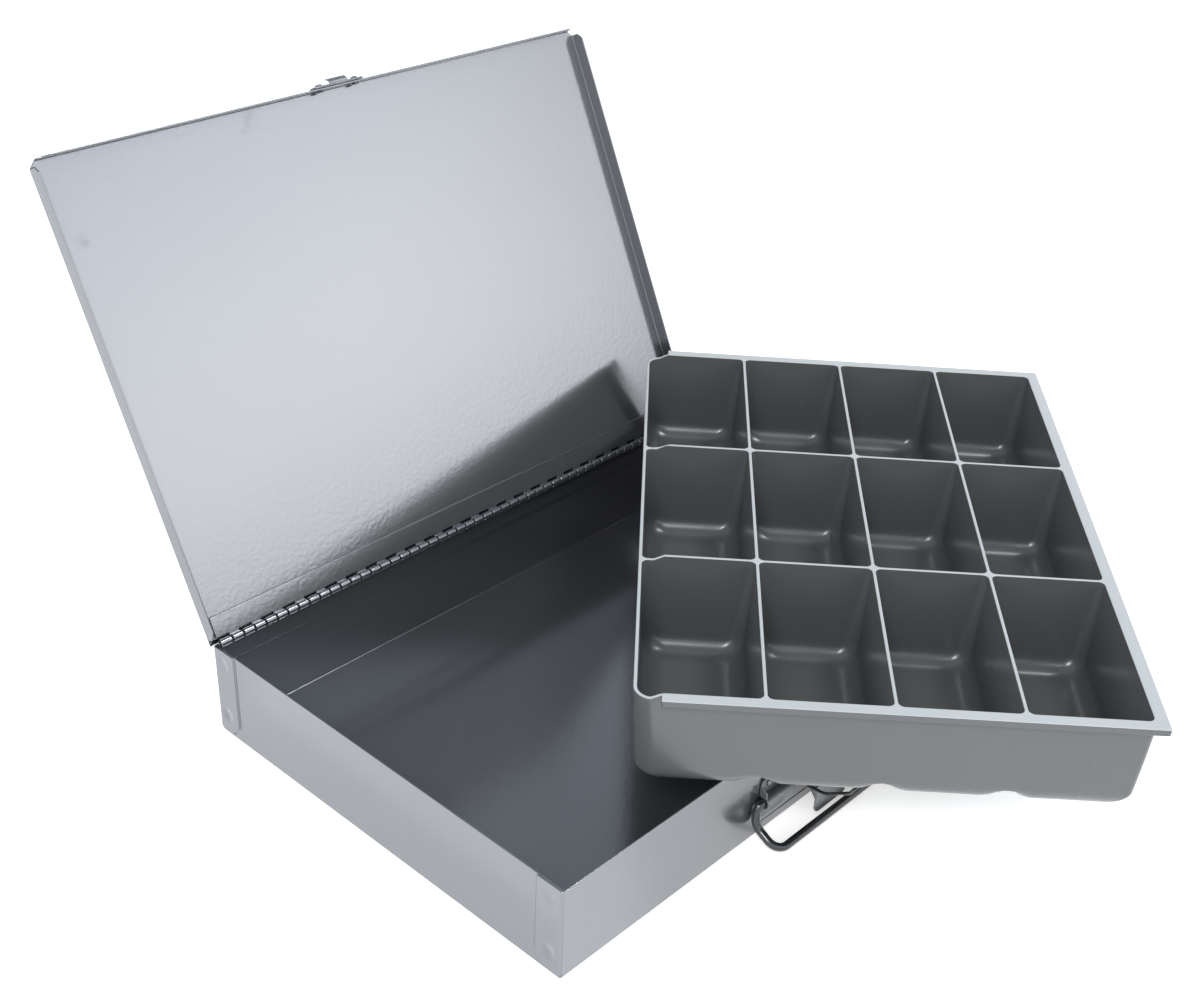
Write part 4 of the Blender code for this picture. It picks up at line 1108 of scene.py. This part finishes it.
def outside_rows():
    """Rings from the lip's outer edge down the outer wall and in under the floor."""
    wall = TRAY_WALL / 2
    low = (LINES_X[0] - wall, LINES_Y[0] - wall)
    high = (LINES_X[-1] + wall, LINES_Y[-1] + wall)
    corners = [CUP_CORNER, CUP_CORNER, HINGE_SIDE_CORNER, HINGE_SIDE_CORNER]
    length = (high[1] - HINGE_SIDE_CORNER) - (low[1] + CUP_CORNER)
    lip_end = (STRIP_Y - low[1] - CUP_CORNER) / length
    ramp_end = (STRIP_Y + STRIP_RAMP - low[1] - CUP_CORNER) / length
    marks = [lip_end - 0.002, lip_end, lip_end, lip_end + 0.002]
    marks += [ramp_end] if ramp_end < 1 else []
    side = sorted([s for s in even(48) if abs(s - lip_end) > 0.012] + marks)
    shares = round_shares(70, side)
    starts = [0]
    for index in range(4):
        starts.append(starts[-1] + CORNER_COLUMNS + len(shares[index]))
    top_ring = ring(low, high, corners, shares)
    # The second of the two columns at the lip's end belongs to the bare wall.
    right_end = starts[1] + CORNER_COLUMNS + side.index(lip_end) + 1
    left_end = starts[3] + CORNER_COLUMNS + shares[3].index(1 - lip_end)

    def lip_point(index, offset):
        """Where this column meets the lip's section; offset runs out from the wall."""
        x, y = top_ring[index]
        for corner, sign in ((0, -1), (1, 1)):
            turn = index - starts[corner]
            if 0 <= turn < CORNER_COLUMNS:
                angle = math.radians((180, 270)[corner] + 90 * turn / CORNER_STEPS)
                radius = CUP_CORNER + (LIP_CORNER - CUP_CORNER) * (offset / LIP_REACH)
                centre = (sign * (abs(low[0]) + offset - radius), low[1] - offset + radius)
                return centre[0] + radius * math.cos(angle), centre[1] + radius * math.sin(angle)
        if index < starts[1]:
            return x, low[1] - offset
        return math.copysign(abs(low[0]) + offset, x), y

    def bare_point(index, number):
        """The lowered strip's bare wall: a rolled edge, then straight down."""
        x, y = top_ring[index]
        inward, fall = (TOP_EDGE * share for share in TOP_ROLL[min(number, 3)])
        fall += max(number - 3, 0) * STRIP_STEP
        step_x = -math.copysign(inward, x) if abs(abs(x) - high[0]) < HINGE_SIDE_CORNER else 0
        step_y = -inward if y > high[1] - HINGE_SIDE_CORNER else 0
        if step_x and step_y:
            middle = (math.copysign(high[0] - HINGE_SIDE_CORNER, x), high[1] - HINGE_SIDE_CORNER)
            away = (Vector((x, y)) - Vector(middle)).normalized() * inward
            step_x, step_y = -away.x, -away.y
        return x + step_x, y + step_y, TRAY_HEIGHT - drop(y) - fall

    rows = []
    for number, (offset, depth) in enumerate(lip_section()):
        rows.append([
            bare_point(index, number)
            if right_end <= index <= left_end
            else (*lip_point(index, offset), TRAY_HEIGHT - depth)
            for index in range(len(top_ring))
        ])
    wall_top = TRAY_HEIGHT - TRAY_WALL - LIP_ROOT
    tops = [point[2] for point in rows[-1]]

    def outer_row(inset, z, radii, share):
        """A ring at height z, which follows the lip's underside by the given share."""
        result = []
        for (x, y), top in zip(inset_ring(low, high, inset, radii, shares), tops):
            height = z + (top - wall_top) * share
            if z < HOLLOW_FADE:
                reach = max(min(x - low[0], high[0] - x, y - low[1], high[1] - y), 0)
                hollow = under(x, y, reach) * smooth((HOLLOW_FADE - z) / HOLLOW_FADE)
                height = max(height, 0) + hollow
            result.append((x, y, height))
        rows.append(result)

    floor_corner = CUP_FLOOR_CORNER + TRAY_WALL
    for share in (0.12, 0.35, 0.6, 0.82):
        z = wall_top + (FLOOR_RADIUS - wall_top) * share
        outer_row(TRAY_DRAFT * (TRAY_HEIGHT - z) * share ** 0.3, z, corners, 1 - share)
    for step in range(10, -1, -1):
        angle = math.radians(90 * step / 10)
        z = FLOOR_RADIUS * (1 - math.cos(angle))
        inset = FLOOR_RADIUS * (1 - math.sin(angle)) + TRAY_DRAFT * (TRAY_HEIGHT - z)
        outer_row(inset, z, grown(corners, 1 - step / 10, floor_corner), 0)
    inset = FLOOR_RADIUS + TRAY_DRAFT * TRAY_HEIGHT
    middle = (high[1] - low[1]) / 2
    while inset < middle - UNDER_MIDDLE:
        inset += UNDER_STEP
        radius = min(floor_corner, middle - inset - 0.0005)
        outer_row(inset, 0.0, [radius] * 4, 0)
    return rows


def inside(point, loop):
    """Whether a point lies within a closed loop of vertices, by the edges it crosses."""
    within = False
    for a, b in zip(loop, loop[1:] + loop[:1]):
        a, b = a.co, b.co
        if (a.y > point.y) != (b.y > point.y):
            if point.x < (b.x - a.x) * (point.y - a.y) / (b.y - a.y) + a.x:
                within = not within
    return within


def deck(bm, outline, holes):
    """The level faces between the cups and out to the lip's edge."""
    loops = [outline] + holes
    owners = [vert for part in loops for vert in part]
    edges, at = [], 0
    for part in loops:
        count = len(part)
        edges += [(at + i, at + (i + 1) % count) for i in range(count)]
        at += count
    flat = geometry.delaunay_2d_cdt([Vector(v.co[:2]) for v in owners], edges, [], 2, 1e-7)
    points, faces, origins = flat[0], flat[2], flat[3]
    verts = []
    for point, origin in zip(points, origins):
        height = TRAY_HEIGHT - drop(point.y)
        verts.append(owners[origin[0]] if origin else bm.verts.new((point.x, point.y, height)))
    boxes = []
    for part in holes:
        xs, ys = [vert.co.x for vert in part], [vert.co.y for vert in part]
        boxes.append((min(xs), max(xs), min(ys), max(ys), part))
    for face in faces:
        centre = sum((points[i] for i in face), Vector((0, 0))) / len(face)
        corners = [verts[i] for i in face]
        over_cup = any(
            x0 < centre.x < x1 and y0 < centre.y < y1 and inside(centre, part)
            for x0, x1, y0, y1, part in boxes
        )
        if len(set(corners)) > 2 and not over_cup and not bm.faces.get(corners):
            bm.faces.new(corners)


def tray():
    """One moulding: the cups, the level faces between them and a lip on three sides."""
    bm = bmesh.new()
    holes = cups(bm)
    deck(bm, skin(bm, outside_rows()), holes)
    bmesh.ops.remove_doubles(bm, verts=bm.verts, dist=MERGE)
    shell = from_bmesh("tray_moulding", bm)
    # Painted highlight: upward faces near the top take the lighter copy of the plastic, for the light
    # falling on them
    lit_top_above = TRAY_HEIGHT - HINGE_STRIP_DROP - LIT_TOP_BAND
    for polygon in shell.data.polygons:
        if polygon.normal.z > 0.35 and polygon.center.z > lit_top_above:
            polygon.material_index = 1
    place(soften(shell, 0), TRAY_SEAT)
    show(shell, "tray", "tray", [PLASTIC, PLASTIC_LIT_TOP])


box_body()
hinge()
lid()
catch()
bracket("left", -1)
bracket("right", 1)
handle()
latch()
lever()
loop()
tray()


# ---------------------------------------------------------------- floor, light and camera
def white_room():
    """A pale room: a bright band round the walls, a dimmer, cooler ceiling, dark near the floor."""
    world = bpy.data.worlds.new("white_room")
    world.use_nodes = True
    n = Tree(world.node_tree, "Generated")
    height = n.add("ShaderNodeSeparateXYZ", Vector=n.coordinates).outputs["Z"]
    side = n.vector("DOT_PRODUCT", n.coordinates, (0.80, 0.60, 0.0))
    fall = n.ramp(height, 0.31, 0.72, ROOM_WALLS, ROOM_CEILING)
    rise = n.ramp(height, 0.11, 0.25, 0.10, 1.0)
    sweep = n.math("MULTIPLY", n.ramp(side, 0.03, 0.30, 1.0, 0.50), n.ramp(side, -0.50, 0.0, 0.75, 1.0))
    strength = n.math("MULTIPLY", n.math("MULTIPLY", fall, rise), sweep)
    colour = n.mix(n.ramp(height, 0.31, 0.60), (0.965, 0.98, 1.0, 1), (0.86, 0.96, 1.08, 1))
    background = n.tree.nodes["Background"]
    n.feed(background.inputs[0], colour)
    n.feed(background.inputs[1], strength)
    return world


def pale_floor():
    bm = bmesh.new()
    bmesh.ops.create_grid(bm, x_segments=1, y_segments=1, size=FLOOR_HALF)
    ground = from_bmesh("floor", bm, outward=False)
    ground.location = (0, 0, -FLOOR_DROP)
    n = Surface("pale_floor")
    tint = n.mix(n.ramp(n.noise(1.5, 2.0), 0.3, 0.7), (0.93, 0.93, 0.93, 1), (0.95, 0.95, 0.95, 1))
    n.set(Base_Color=tint, Roughness=0.9)
    n.set(Emission_Color=(1.0, 0.985, 0.955, 1), Emission_Strength=0.45)
    ground.data.materials.append(n.material)


def lamp(name, at, power, colour):
    light = bpy.data.lights.new(name, "AREA")
    light.shape = "RECTANGLE"
    light.size = light.size_y = LAMP_SIZE
    light.energy = power
    light.color = colour
    made = link(name, light)
    made.location = at
    made.rotation_euler = (LAMP_TARGET - Vector(at)).to_track_quat("-Z", "Y").to_euler()


def photo_camera():
    """The camera at the photo's viewing angle, as fitted to its 1200 x 996 frame."""
    lens = bpy.data.cameras.new("photo_view")
    lens.sensor_width = 36
    lens.lens = 50.45
    lens.shift_x = -0.0382
    lens.shift_y = 0.0878
    lens.clip_start = 0.01
    camera = link("photo_view", lens)
    right = Vector((0.67068, -0.73951, 0.05762))
    up = Vector((0.38509, 0.41353, 0.82504))
    forward = Vector((0.63395, 0.53115, -0.56212))
    matrix = Matrix((right, up, -forward)).transposed().to_4x4()
    matrix.translation = (-0.53332, -0.45502, 0.53183)
    camera.matrix_world = matrix
    bpy.context.scene.camera = camera


def studio():
    scene = bpy.context.scene
    pale_floor()
    lamp("key_left", (-1.25, -0.75, 1.45), 17, (1.0, 0.995, 0.985))
    lamp("key_right", (0.75, -0.45, 1.90), 13, (0.97, 0.985, 1.0))
    scene.world = white_room()
    scene.view_settings.view_transform = "Standard"
    scene.view_settings.look = "None"
    photo_camera()


studio()
